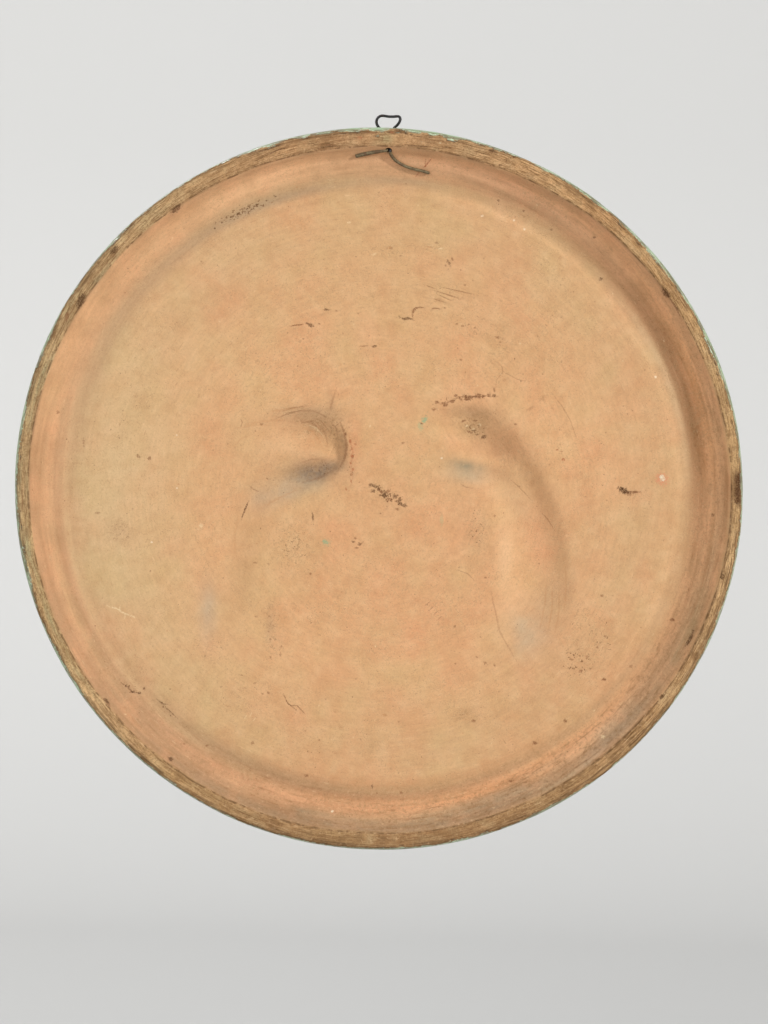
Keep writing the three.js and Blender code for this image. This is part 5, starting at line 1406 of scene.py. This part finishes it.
# ---- Materials ----------------------------------------------------------------------------------
class Net:
    """A material's node net, built from the surface's own coordinates."""

    def __init__(self, name):
        self.mat = bpy.data.materials.new(name)
        self.mat.use_nodes = True
        self.tree = self.mat.node_tree
        self.tree.nodes.clear()
        self.out = self.add("ShaderNodeOutputMaterial")
        self.shader = self.add("ShaderNodeBsdfPrincipled")
        self.join(self.shader.outputs[0], self.out.inputs[0])

    def add(self, kind, **settings):
        node = self.tree.nodes.new(kind)
        for key, value in settings.items():
            setattr(node, key, value)
        return node

    def join(self, source, target):
        if isinstance(source, (int, float)):
            target.default_value = source
        elif isinstance(source, (tuple, list, np.ndarray)):
            source = [float(c) for c in source]
            if len(source) == 3 and target.type == "RGBA":
                source.append(1.0)
            target.default_value = source
        else:
            self.tree.links.new(source, target)

    def math(self, op, a, b=0.0, c=0.0, clamp=False):
        node = self.add("ShaderNodeMath", operation=op, use_clamp=clamp)
        for value, socket in zip((a, b, c), node.inputs):
            self.join(value, socket)
        return node.outputs[0]

    def step(self, x, a, b):
        """0 below a, 1 above b, smooth between (or the reverse)."""
        node = self.add("ShaderNodeMapRange", interpolation_type="SMOOTHSTEP")
        for value, name in ((x, "Value"), (a, "From Min"), (b, "From Max")):
            self.join(value, node.inputs[name])
        return node.outputs[0]

    def line(self, x, a, b, to_a, to_b):
        node = self.add("ShaderNodeMapRange")
        for value, name in (
            (x, "Value"), (a, "From Min"), (b, "From Max"), (to_a, "To Min"), (to_b, "To Max"),
        ):
            self.join(value, node.inputs[name])
        return node.outputs[0]

    def mix(self, share, a, b, way="MIX"):
        node = self.add("ShaderNodeMix", data_type="RGBA", blend_type=way, clamp_factor=True)
        self.join(share, node.inputs[0])
        self.join(a, node.inputs[6])
        self.join(b, node.inputs[7])
        return node.outputs[2]

    def blendf(self, share, a, b):
        node = self.add("ShaderNodeMix", data_type="FLOAT", clamp_factor=True)
        self.join(share, node.inputs[0])
        self.join(a, node.inputs[2])
        self.join(b, node.inputs[3])
        return node.outputs[0]

    def attribute(self, name, socket="Fac"):
        return self.add("ShaderNodeAttribute", attribute_name=name).outputs[socket]

    def vector(self, x, y, z):
        node = self.add("ShaderNodeCombineXYZ")
        for value, socket in zip((x, y, z), node.inputs):
            self.join(value, socket)
        return node.outputs[0]

    def parts(self, vector):
        node = self.add("ShaderNodeSeparateXYZ")
        self.join(vector, node.inputs[0])
        return node.outputs[0], node.outputs[1], node.outputs[2]

    def noise(self, vector, scale, detail=2.0, rough=0.5):
        node = self.add("ShaderNodeTexNoise")
        self.join(vector, node.inputs["Vector"])
        self.join(scale, node.inputs["Scale"])
        self.join(detail, node.inputs["Detail"])
        self.join(rough, node.inputs["Roughness"])
        return node.outputs["Fac"]

    def cells(self, vector, scale, feature="DISTANCE_TO_EDGE"):
        node = self.add("ShaderNodeTexVoronoi", feature=feature)
        self.join(vector, node.inputs["Vector"])
        self.join(scale, node.inputs["Scale"])
        return node.outputs["Distance"]

    def bump(self, height, distance, strength=1.0, normal=None):
        node = self.add("ShaderNodeBump")
        self.join(height, node.inputs["Height"])
        self.join(distance, node.inputs["Distance"])
        self.join(strength, node.inputs["Strength"])
        if normal is not None:
            self.join(normal, node.inputs["Normal"])
        return node.outputs[0]


def plaque_material():
    n = Net("fired_clay_and_glaze")
    place_mm = n.add("ShaderNodeVectorMath", operation="SCALE")
    n.join(n.add("ShaderNodeTexCoord").outputs["Object"], place_mm.inputs[0])
    place_mm.inputs["Scale"].default_value = 1000.0
    p = place_mm.outputs[0]
    x, y, z = n.parts(p)
    zc = n.math("ADD", z, DROP)
    r = n.math("SQRT", n.math("ADD", n.math("MULTIPLY", x, x), n.math("MULTIPLY", zc, zc)))
    safe = n.math("MAXIMUM", r, 1.0)
    cx, cz = n.math("DIVIDE", x, safe), n.math("DIVIDE", zc, safe)

    def turning(around, across):
        """Coordinates stretched round the disc: cells round it, and cells per mm across."""
        return n.vector(
            n.math("MULTIPLY", cx, around), n.math("MULTIPLY", cz, around), n.math("MULTIPLY", r, across)
        )

    def out_along(around, across):
        """The same, but running on round the outer edge."""
        return n.vector(
            n.math("MULTIPLY", cx, around), n.math("MULTIPLY", cz, around),
            n.math("MULTIPLY", n.math("SUBTRACT", r, y), across),
        )

    foot = n.attribute("foot")
    lined = n.attribute("lined")
    tone = n.attribute("tone", "Color")

    # Fired clay: grain, cloudy mottling, wiping streaks and fine turning lines.
    grain = n.noise(p, 0.9, 2.0, 0.6)
    cloud = n.noise(p, 0.07, 3.0, 0.55)
    wiped = n.noise(turning(9.0, 0.55), 1.0, 3.0, 0.6)
    lines = n.noise(turning(20.0, 2.6), 1.0, 2.0, 0.7)
    nicks = n.noise(turning(26.0, 1.1), 1.0, 2.0, 0.6)
    colour = n.mix(n.step(cloud, 0.42, 0.72), tone, n.mix(1.0, tone, (0.955, 0.935, 0.915), "MULTIPLY"))
    shade = n.math("ADD", n.line(grain, 0.3, 0.7, 0.952, 1.048), n.line(wiped, 0.3, 0.7, -0.040, 0.040))
    colour = n.mix(1.0, colour, n.vector(shade, shade, shade), "MULTIPLY")
    # Dark turning streaks on the foot ring.
    gritty = n.math("MULTIPLY", n.step(grain, 0.52, 0.62), foot)
    colour = n.mix(n.math("MULTIPLY", gritty, 0.40), colour, clay("#6f4e31"))
    dark_lines = n.math("MULTIPLY", n.step(lines, 0.545, 0.60), lined)
    colour = n.mix(n.math("MULTIPLY", dark_lines, 0.58), colour, clay("#654829"))
    light_lines = n.math("MULTIPLY", n.step(lines, 0.46, 0.38), lined)
    colour = n.mix(n.math("MULTIPLY", light_lines, 0.36), colour, clay("#edc090"))
    dashes = n.math("MULTIPLY", n.step(nicks, 0.54, 0.62), foot)
    colour = n.mix(n.math("MULTIPLY", dashes, 0.42), colour, clay("#7a5534"))
    # Short nicks and dust along the turning, all over.
    colour = n.mix(n.math("MULTIPLY", n.step(nicks, 0.66, 0.72), 0.30), colour, clay("#a9774f"))
    colour = n.mix(n.math("MULTIPLY", n.step(nicks, 0.33, 0.27), 0.28), colour, clay("#efcda2"))
    # Dirt: streaks round the disc and cloudy blotches.
    grime = n.attribute("grime")
    dirt_a = n.noise(turning(13.0, 0.75), 1.0, 3.0, 0.68)
    dirt_b = n.noise(p, 0.20, 3.0, 0.66)
    dirt_c = n.noise(p, 0.55, 3.0, 0.7)
    colour = n.mix(
        n.math("MULTIPLY", n.math("MULTIPLY", n.step(dirt_a, 0.50, 0.74), grime), 0.66),
        colour, clay("#8d6641"),
    )
    colour = n.mix(
        n.math("MULTIPLY", n.math("MULTIPLY", n.step(dirt_b, 0.50, 0.70), grime), 0.50),
        colour, clay("#9a7752"),
    )
    colour = n.mix(
        n.math("MULTIPLY", n.math("MULTIPLY", n.step(dirt_c, 0.53, 0.66), grime), 0.45),
        colour, clay("#7d5d3e"),
    )
    colour = n.mix(
        n.math("MULTIPLY", n.math("MULTIPLY", n.step(dirt_c, 0.44, 0.32), grime), 0.38),
        colour, clay("#ecc79a"),
    )
    # Shrunken skin of slip: thin bent wrinkles, in broken runs, with paler rims.
    wrinkle = n.noise(p, 0.34, 2.0, 0.55)
    flaky = n.math("MULTIPLY", n.attribute("flaky"), n.step(dirt_c, 0.40, 0.56))
    ridge = n.math("ABSOLUTE", n.math("SUBTRACT", wrinkle, 0.5))
    colour = n.mix(
        n.math("MULTIPLY", n.step(ridge, 0.10, 0.05), n.math("MULTIPLY", flaky, 0.34)), colour, clay("#ecca9a")
    )
    colour = n.mix(
        n.math("MULTIPLY", n.step(ridge, 0.040, 0.012), n.math("MULTIPLY", flaky, 0.60)), colour, clay("#946843")
    )
    # The foot ring's inner corner: a thin broken dark line.
    ring_off = n.math("ADD", n.attribute("ringat"), n.line(dirt_a, 0.25, 0.75, -202.2, -201.2))
    corner = n.math("MULTIPLY", n.step(n.math("ABSOLUTE", ring_off), 0.60, 0.15), n.step(dirt_b, 0.44, 0.56))
    colour = n.mix(n.math("MULTIPLY", corner, 0.62), colour, clay("#5e432b"))
    # Specks, denser where the mask says.
    speck_noise = n.noise(p, 0.62, 2.0, 0.7)
    limit = n.line(n.attribute("speckle"), 0.0, 1.0, 0.79, 0.49)
    specks = n.step(speck_noise, limit, n.math("ADD", limit, 0.035))
    colour = n.mix(n.math("MULTIPLY", specks, 0.70), colour, clay("#6e4c30"))
    dust = n.noise(p, 1.7, 1.0, 0.5)
    colour = n.mix(n.math("MULTIPLY", n.step(dust, 0.68, 0.73), 0.36), colour, clay("#84593a"))
    # Single marks.
    pit = 0.0
    wobble = n.line(n.noise(p, 1.1, 1.0, 0.6), 0.25, 0.75, -0.52, 0.52)
    crumbs = n.line(n.step(n.noise(p, 1.8, 1.0, 0.65), 0.40, 0.56), 0.0, 1.0, 0.42, 1.0)
    for k in range(CHANNELS):
        mx, my, inside = n.parts(n.attribute(f"mark{k}", "Vector"))
        reach = n.math("SQRT", n.math("ADD", n.math("MULTIPLY", mx, mx), n.math("MULTIPLY", my, my)))
        reach = n.math("ADD", reach, wobble)
        mask = n.math("MULTIPLY", n.step(reach, 1.35, 0.55), n.math("GREATER_THAN", inside, 0.999))
        mask = n.math("MULTIPLY", mask, crumbs)
        colour = n.mix(
            n.math("MULTIPLY", mask, n.attribute(f"markshare{k}")),
            colour,
            n.attribute(f"marktone{k}", "Color"),
        )
        pit = n.math("ADD", pit, n.math("MULTIPLY", mask, n.attribute(f"markdepth{k}")))

    # Glaze: where it starts, with a broken, brown-lined edge.
    g = n.attribute("glaze")
    streaky = n.noise(out_along(26.0, 0.9), 1.0, 2.0, 0.7)
    torn = n.line(n.noise(p, 0.6, 2.0, 0.7), 0.25, 0.75, -0.8, 0.8)
    g = n.math("ADD", n.math("ADD", g, torn), n.line(streaky, 0.25, 0.75, -1.5, 1.5))
    glazed = n.step(g, -0.12, 0.12)
    pale_edge_and_glint = n.math("MULTIPLY", n.step(g, 1.6, 0.2), glazed)
    raised = n.attribute("raised")
    pool = n.noise(p, 0.045, 2.0, 0.5)
    glaze = n.mix(n.step(pool, 0.35, 0.7), linear("#abc29f"), linear("#9ab68f"))
    glaze = n.mix(n.step(raised, -0.05, -0.85), glaze, linear("#6fa784"))
    glaze = n.mix(n.math("MULTIPLY", n.step(raised, 0.12, 0.9), 0.75), glaze, linear("#d9e2c4"))
    thin = n.math("MULTIPLY", n.step(raised, 0.6, 1.0), n.step(n.noise(p, 0.35, 1.0, 0.6), 0.54, 0.68))
    glaze = n.mix(n.math("MULTIPLY", thin, 0.40), glaze, linear("#b39a6c"))
    craze = n.step(n.cells(p, 0.11), 0.018, 0.0)
    craze = n.math("MULTIPLY", craze, n.step(n.noise(p, 0.02, 1.0, 0.5), 0.45, 0.6))
    glaze = n.mix(n.math("MULTIPLY", craze, 0.28), glaze, linear("#5f7a5c"))
    pinholes = n.step(n.noise(p, 0.5, 1.0, 0.5), 0.77, 0.80)
    glaze = n.mix(n.math("MULTIPLY", pinholes, 0.7), glaze, linear("#6f5a3c"))
    # Paler glaze along its edge: partly thinner glaze, partly a painted highlight.
    glaze = n.mix(n.math("MULTIPLY", pale_edge_and_glint, 0.62), glaze, linear("#e1eed0"))
    veil = n.math("MULTIPLY", n.step(dirt_c, 0.40, 0.60), n.step(g, 5.0, 1.0))
    glaze = n.mix(n.math("MULTIPLY", veil, 0.50), glaze, linear("#a39d76"))
    chips = n.math("MAXIMUM", n.step(streaky, 0.49, 0.56), n.step(dirt_a, 0.55, 0.61))
    chips = n.math("MULTIPLY", chips, n.step(g, 8.0, 2.5))
    glaze = n.mix(n.math("MULTIPLY", chips, 0.78), glaze, linear("#6d5338"))
    brown_line = n.math("MULTIPLY", n.step(g, -1.6, -0.2), n.math("SUBTRACT", 1.0, glazed))
    brown_line = n.math("MULTIPLY", brown_line, n.step(streaky, 0.49, 0.57))
    colour = n.mix(n.math("MULTIPLY", brown_line, 0.74), colour, clay("#523a29"))
    colour = n.mix(glazed, colour, glaze)
    n.join(colour, n.shader.inputs["Base Color"])

    rough = n.blendf(glazed, n.line(grain, 0.3, 0.7, 0.78, 0.92), n.line(pool, 0.3, 0.7, 0.26, 0.38))
    n.join(rough, n.shader.inputs["Roughness"])
    n.shader.inputs["IOR"].default_value = 1.5
    n.join(n.blendf(glazed, 0.10, 0.5), n.shader.inputs["Specular IOR Level"])

    # Relief, in millimetres.
    not_glazed = n.math("SUBTRACT", 1.0, glazed)
    fine = n.math("MULTIPLY", n.math("SUBTRACT", grain, 0.5), 0.10)
    fine = n.math("ADD", fine, n.math("MULTIPLY", n.math("MULTIPLY", n.math("SUBTRACT", 0.5, lines), foot), 0.55))
    fine = n.math("SUBTRACT", fine, pit)
    fine = n.math("MULTIPLY", fine, not_glazed)
    thick = n.math("MULTIPLY", n.step(g, -0.1, 0.5), 0.22)
    ripple = n.math("MULTIPLY", n.math("MULTIPLY", n.math("SUBTRACT", n.noise(p, 0.16, 0.0, 0.5), 0.5), 0.14), glazed)
    height = n.math("ADD", n.math("ADD", fine, thick), ripple)
    n.join(n.bump(height, 0.001, 1.0), n.shader.inputs["Normal"])
    return n.mat


def wire_material():
    n = Net("old_iron")
    place_mm = n.add("ShaderNodeVectorMath", operation="SCALE")
    n.join(n.add("ShaderNodeTexCoord").outputs["Object"], place_mm.inputs[0])
    place_mm.inputs["Scale"].default_value = 1000.0
    p = place_mm.outputs[0]
    worn = n.attribute("worn")
    patches = n.noise(p, 0.5, 4.0, 0.65)
    fine = n.noise(p, 2.6, 2.0, 0.6)
    iron = n.mix(n.step(fine, 0.35, 0.7), linear("#2b2b2d"), linear("#434040"))
    tail = n.mix(n.step(patches, 0.38, 0.62), linear("#85795c"), linear("#655640"))
    colour = n.mix(worn, iron, tail)
    rust = n.math("MULTIPLY", n.step(patches, 0.56, 0.7), n.line(worn, 0.0, 1.0, 0.25, 0.6))
    colour = n.mix(rust, colour, linear("#74482c"))
    n.join(colour, n.shader.inputs["Base Color"])
    n.join(n.blendf(worn, 0.42, 0.62), n.shader.inputs["Roughness"])
    n.join(n.math("MULTIPLY", n.math("SUBTRACT", 1.0, rust), 0.55), n.shader.inputs["Metallic"])
    height = n.math("ADD", n.math("MULTIPLY", patches, 0.12), n.math("MULTIPLY", fine, 0.05))
    n.join(n.bump(height, 0.001, 1.0), n.shader.inputs["Normal"])
    return n.mat


mesh.materials.clear()
mesh.materials.append(plaque_material())


# ---- The hanging wire ---------------------------------------------------------------------------
def over(u, v, lift):
    return (u, v, cad_back(u, v) - lift)


def in_bore(side, t):
    return tuple(hole_mouth + [side, 0, 0] + hole_step * t)


WIRE = [
    over(-18.3, 192.4, 1.35), over(-14, 193.5, 1.45), over(-9.4, 194.5, 1.6),
    over(-5, 195.2, 1.8), over(-2.4, 195.5, 1.9),
    in_bore(-STRAND_OFFSET, -1.2), in_bore(-STRAND_OFFSET, 1.2), in_bore(-STRAND_OFFSET, 5),
    in_bore(-STRAND_OFFSET, 9), in_bore(-STRAND_OFFSET, 12.6), in_bore(-STRAND_OFFSET, HOLE_RUN),
    (-2.6, 208.5, 14.6), (-4.8, 209.9, 13.6), (-6.3, 211.6, 12.3), (-6.75, 213.4, 11.4),
    (-6.2, 215.2, 11), (-4.9, 216.5, 11), (-3.0, 216.85, 11), (-1.0, 216.6, 11),
    (0.9, 216.4, 11), (3.4, 216.5, 11), (5.6, 216.75, 11), (6.8, 216.2, 11),
    (7.1, 215.0, 11), (6.5, 213.2, 11.3), (4.9, 211.3, 12.4), (3.3, 209.9, 13.6),
    (2.2, 208.6, 14.5),
    in_bore(STRAND_OFFSET, HOLE_RUN), in_bore(STRAND_OFFSET, 12.6), in_bore(STRAND_OFFSET, 9),
    in_bore(STRAND_OFFSET, 5), in_bore(STRAND_OFFSET, 1.2), in_bore(STRAND_OFFSET, -1.2),
    over(2.0, 193.9, 1.8), over(4.7, 190.9, 1.45), over(8.8, 188.5, 1.35),
    over(13.1, 186.9, 1.3), over(18.0, 185.8, 1.3), over(21.8, 185.0, 1.3),
    over(24.8, 184.1, 1.25),
]


def wire_object():
    path = chain(WIRE, 12)
    gaps = np.linalg.norm(np.diff(path, axis=0), axis=1)
    run = np.concatenate([[0], np.cumsum(gaps)])
    count = 320
    s = np.linspace(0, run[-1], count)
    path = np.stack([np.interp(s, run, path[:, k]) for k in range(3)], -1)
    for _ in range(2):
        path[1:-1] = 0.25 * path[:-2] + 0.5 * path[1:-1] + 0.25 * path[2:]
    along = np.gradient(path, axis=0)
    along /= np.linalg.norm(along, axis=1)[:, None]
    side = np.cross(along[0], [0.0, 0.0, 1.0])
    sides, pts, faces, worn = 18, [], [], []
    tail_a, tail_b = s < 20, s > run[-1] - 29
    for i in range(count):
        side = side - along[i] * (side @ along[i])
        side /= np.linalg.norm(side)
        other = np.cross(along[i], side)
        from_end = s[i]
        for j in range(sides):
            a = 2 * math.pi * j / sides
            r = WIRE_D / 2
            if tail_a[i]:
                r *= 1 + 0.50 * float(ramp01(np.array(s[i]), 19, 10))
            if tail_b[i]:
                r *= 1.12
            r *= 1 + 0.07 * float(noise(np.array(s[i] / 2.2), np.array(j / 4.5), 91, 0))
            if i in (0, count - 1):
                r *= 0.82
            pts.append(path[i] + (side * math.cos(a) + other * math.sin(a)) * r)
            worn.append(1.0 if (tail_a[i] or tail_b[i]) else 0.0)
    for i in range(count - 1):
        for j in range(sides):
            k = (j + 1) % sides
            faces.append((i * sides + j, i * sides + k, (i + 1) * sides + k, (i + 1) * sides + j))
    for ring, tip, flip in ((0, path[0] - along[0] * 0.12, True), (count - 1, path[-1] + along[-1] * 0.12, False)):
        c = len(pts)
        pts.append(tip)
        worn.append(1.0)
        for j in range(sides):
            k = (j + 1) % sides
            tri = (c, ring * sides + j, ring * sides + k)
            faces.append(tri[::-1] if flip else tri)
    pts = np.array(pts)
    obj = mesh_object("bent_wire", place(pts[:, 0], pts[:, 1], pts[:, 2]), faces)
    facing_out(obj)
    add_values(obj.data, "worn", np.array(worn))
    obj.data.materials.append(wire_material())
    return obj


wire = wire_object()

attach(plaque, "root")
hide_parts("plaque")
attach(wire, "root")
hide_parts("hanging_wire")


# ---- Floor, light and camera --------------------------------------------------------------------
def sweep_floor():
    """A pale floor that curves up into a far pale wall."""
    near_y, far_y, floor_z, top_z, bend_r, half = 4.5, -3.2, -0.75, 3.6, 1.1, 6.0
    rows = [(near_y, floor_z)]
    for i in range(25):
        a = math.pi / 2 * i / 24
        rows.append((far_y + bend_r - bend_r * math.sin(a), floor_z + bend_r - bend_r * math.cos(a)))
    rows.append((far_y, top_z))
    pts, faces = [], []
    for y, z in rows:
        pts += [(-half, y, z), (half, y, z)]
    for i in range(len(rows) - 1):
        faces.append((2 * i, 2 * i + 1, 2 * i + 3, 2 * i + 2))
    obj = mesh_object("sweep", np.array(pts), faces)
    n = Net("pale_paper")
    n.join(linear("#c4c4c3"), n.shader.inputs["Base Color"])
    n.join(0.95, n.shader.inputs["Roughness"])
    n.shader.inputs["Specular IOR Level"].default_value = 0.1
    obj.data.materials.append(n.mat)


sweep_floor()

scene = bpy.context.scene
scene.view_settings.view_transform = "Standard"

KEY_FROM = Vector((-0.76, 0.60, 0.25)).normalized()
key = bpy.data.lights.new("key", "SUN")
key.energy = 0.69 * math.pi
key.angle = math.radians(3.3)
key.color = (1.0, 0.985, 0.96)
key_obj = bpy.data.objects.new("key", key)
key_obj.rotation_euler = KEY_FROM.to_track_quat("Z", "Y").to_euler()
scene.collection.objects.link(key_obj)

fill = bpy.data.lights.new("wide_fill", "SUN")
fill.energy = 0.38 * math.pi
fill.angle = math.radians(60)
fill_obj = bpy.data.objects.new("wide_fill", fill)
fill_obj.rotation_euler = Vector((0.55, 0.80, 0.20)).to_track_quat("Z", "Y").to_euler()
scene.collection.objects.link(fill_obj)

front_light = bpy.data.lights.new("front_softbox", "AREA")
front_light.shape = "DISK"
front_light.size = 1.1
front_light.energy = 44
front_obj = bpy.data.objects.new("front_softbox", front_light)
front_obj.location = (1.5, -1.3, 2.2)
front_obj.rotation_euler = (
    (front_obj.location - Vector((0, 0, -0.22))).to_track_quat("Z", "Y").to_euler()
)
front_obj.visible_camera = False
scene.collection.objects.link(front_obj)

world = bpy.data.worlds.new("soft_room")
world.use_nodes = True
world.node_tree.nodes["Background"].inputs[0].default_value = (1.0, 1.0, 1.0, 1)
world.node_tree.nodes["Background"].inputs[1].default_value = 0.43
scene.world = world

# Straight behind the plaque, rolled with the rear view's grid. The view spans 768 by 1024 steps.
DISTANCE = 1.9
cam = bpy.data.cameras.new("camera")
cam.sensor_fit = "AUTO"
cam.sensor_width = 36
cam.lens = 36 * DISTANCE / (1024 * VIEW_STEP * 0.001)
cam_obj = bpy.data.objects.new("camera", cam)
mid_u, mid_v = seen(384, 512)
up = Vector((math.sin(VIEW_TURN), 0, math.cos(VIEW_TURN)))
back_dir = Vector((0, 1, 0))
right = up.cross(back_dir)
turn = Matrix((right, up, back_dir)).transposed().to_4x4()
turn.translation = Vector((-mid_u * 0.001, 0.0045 + DISTANCE, (mid_v - DROP) * 0.001))
cam_obj.matrix_world = turn
scene.collection.objects.link(cam_obj)
scene.camera = cam_obj
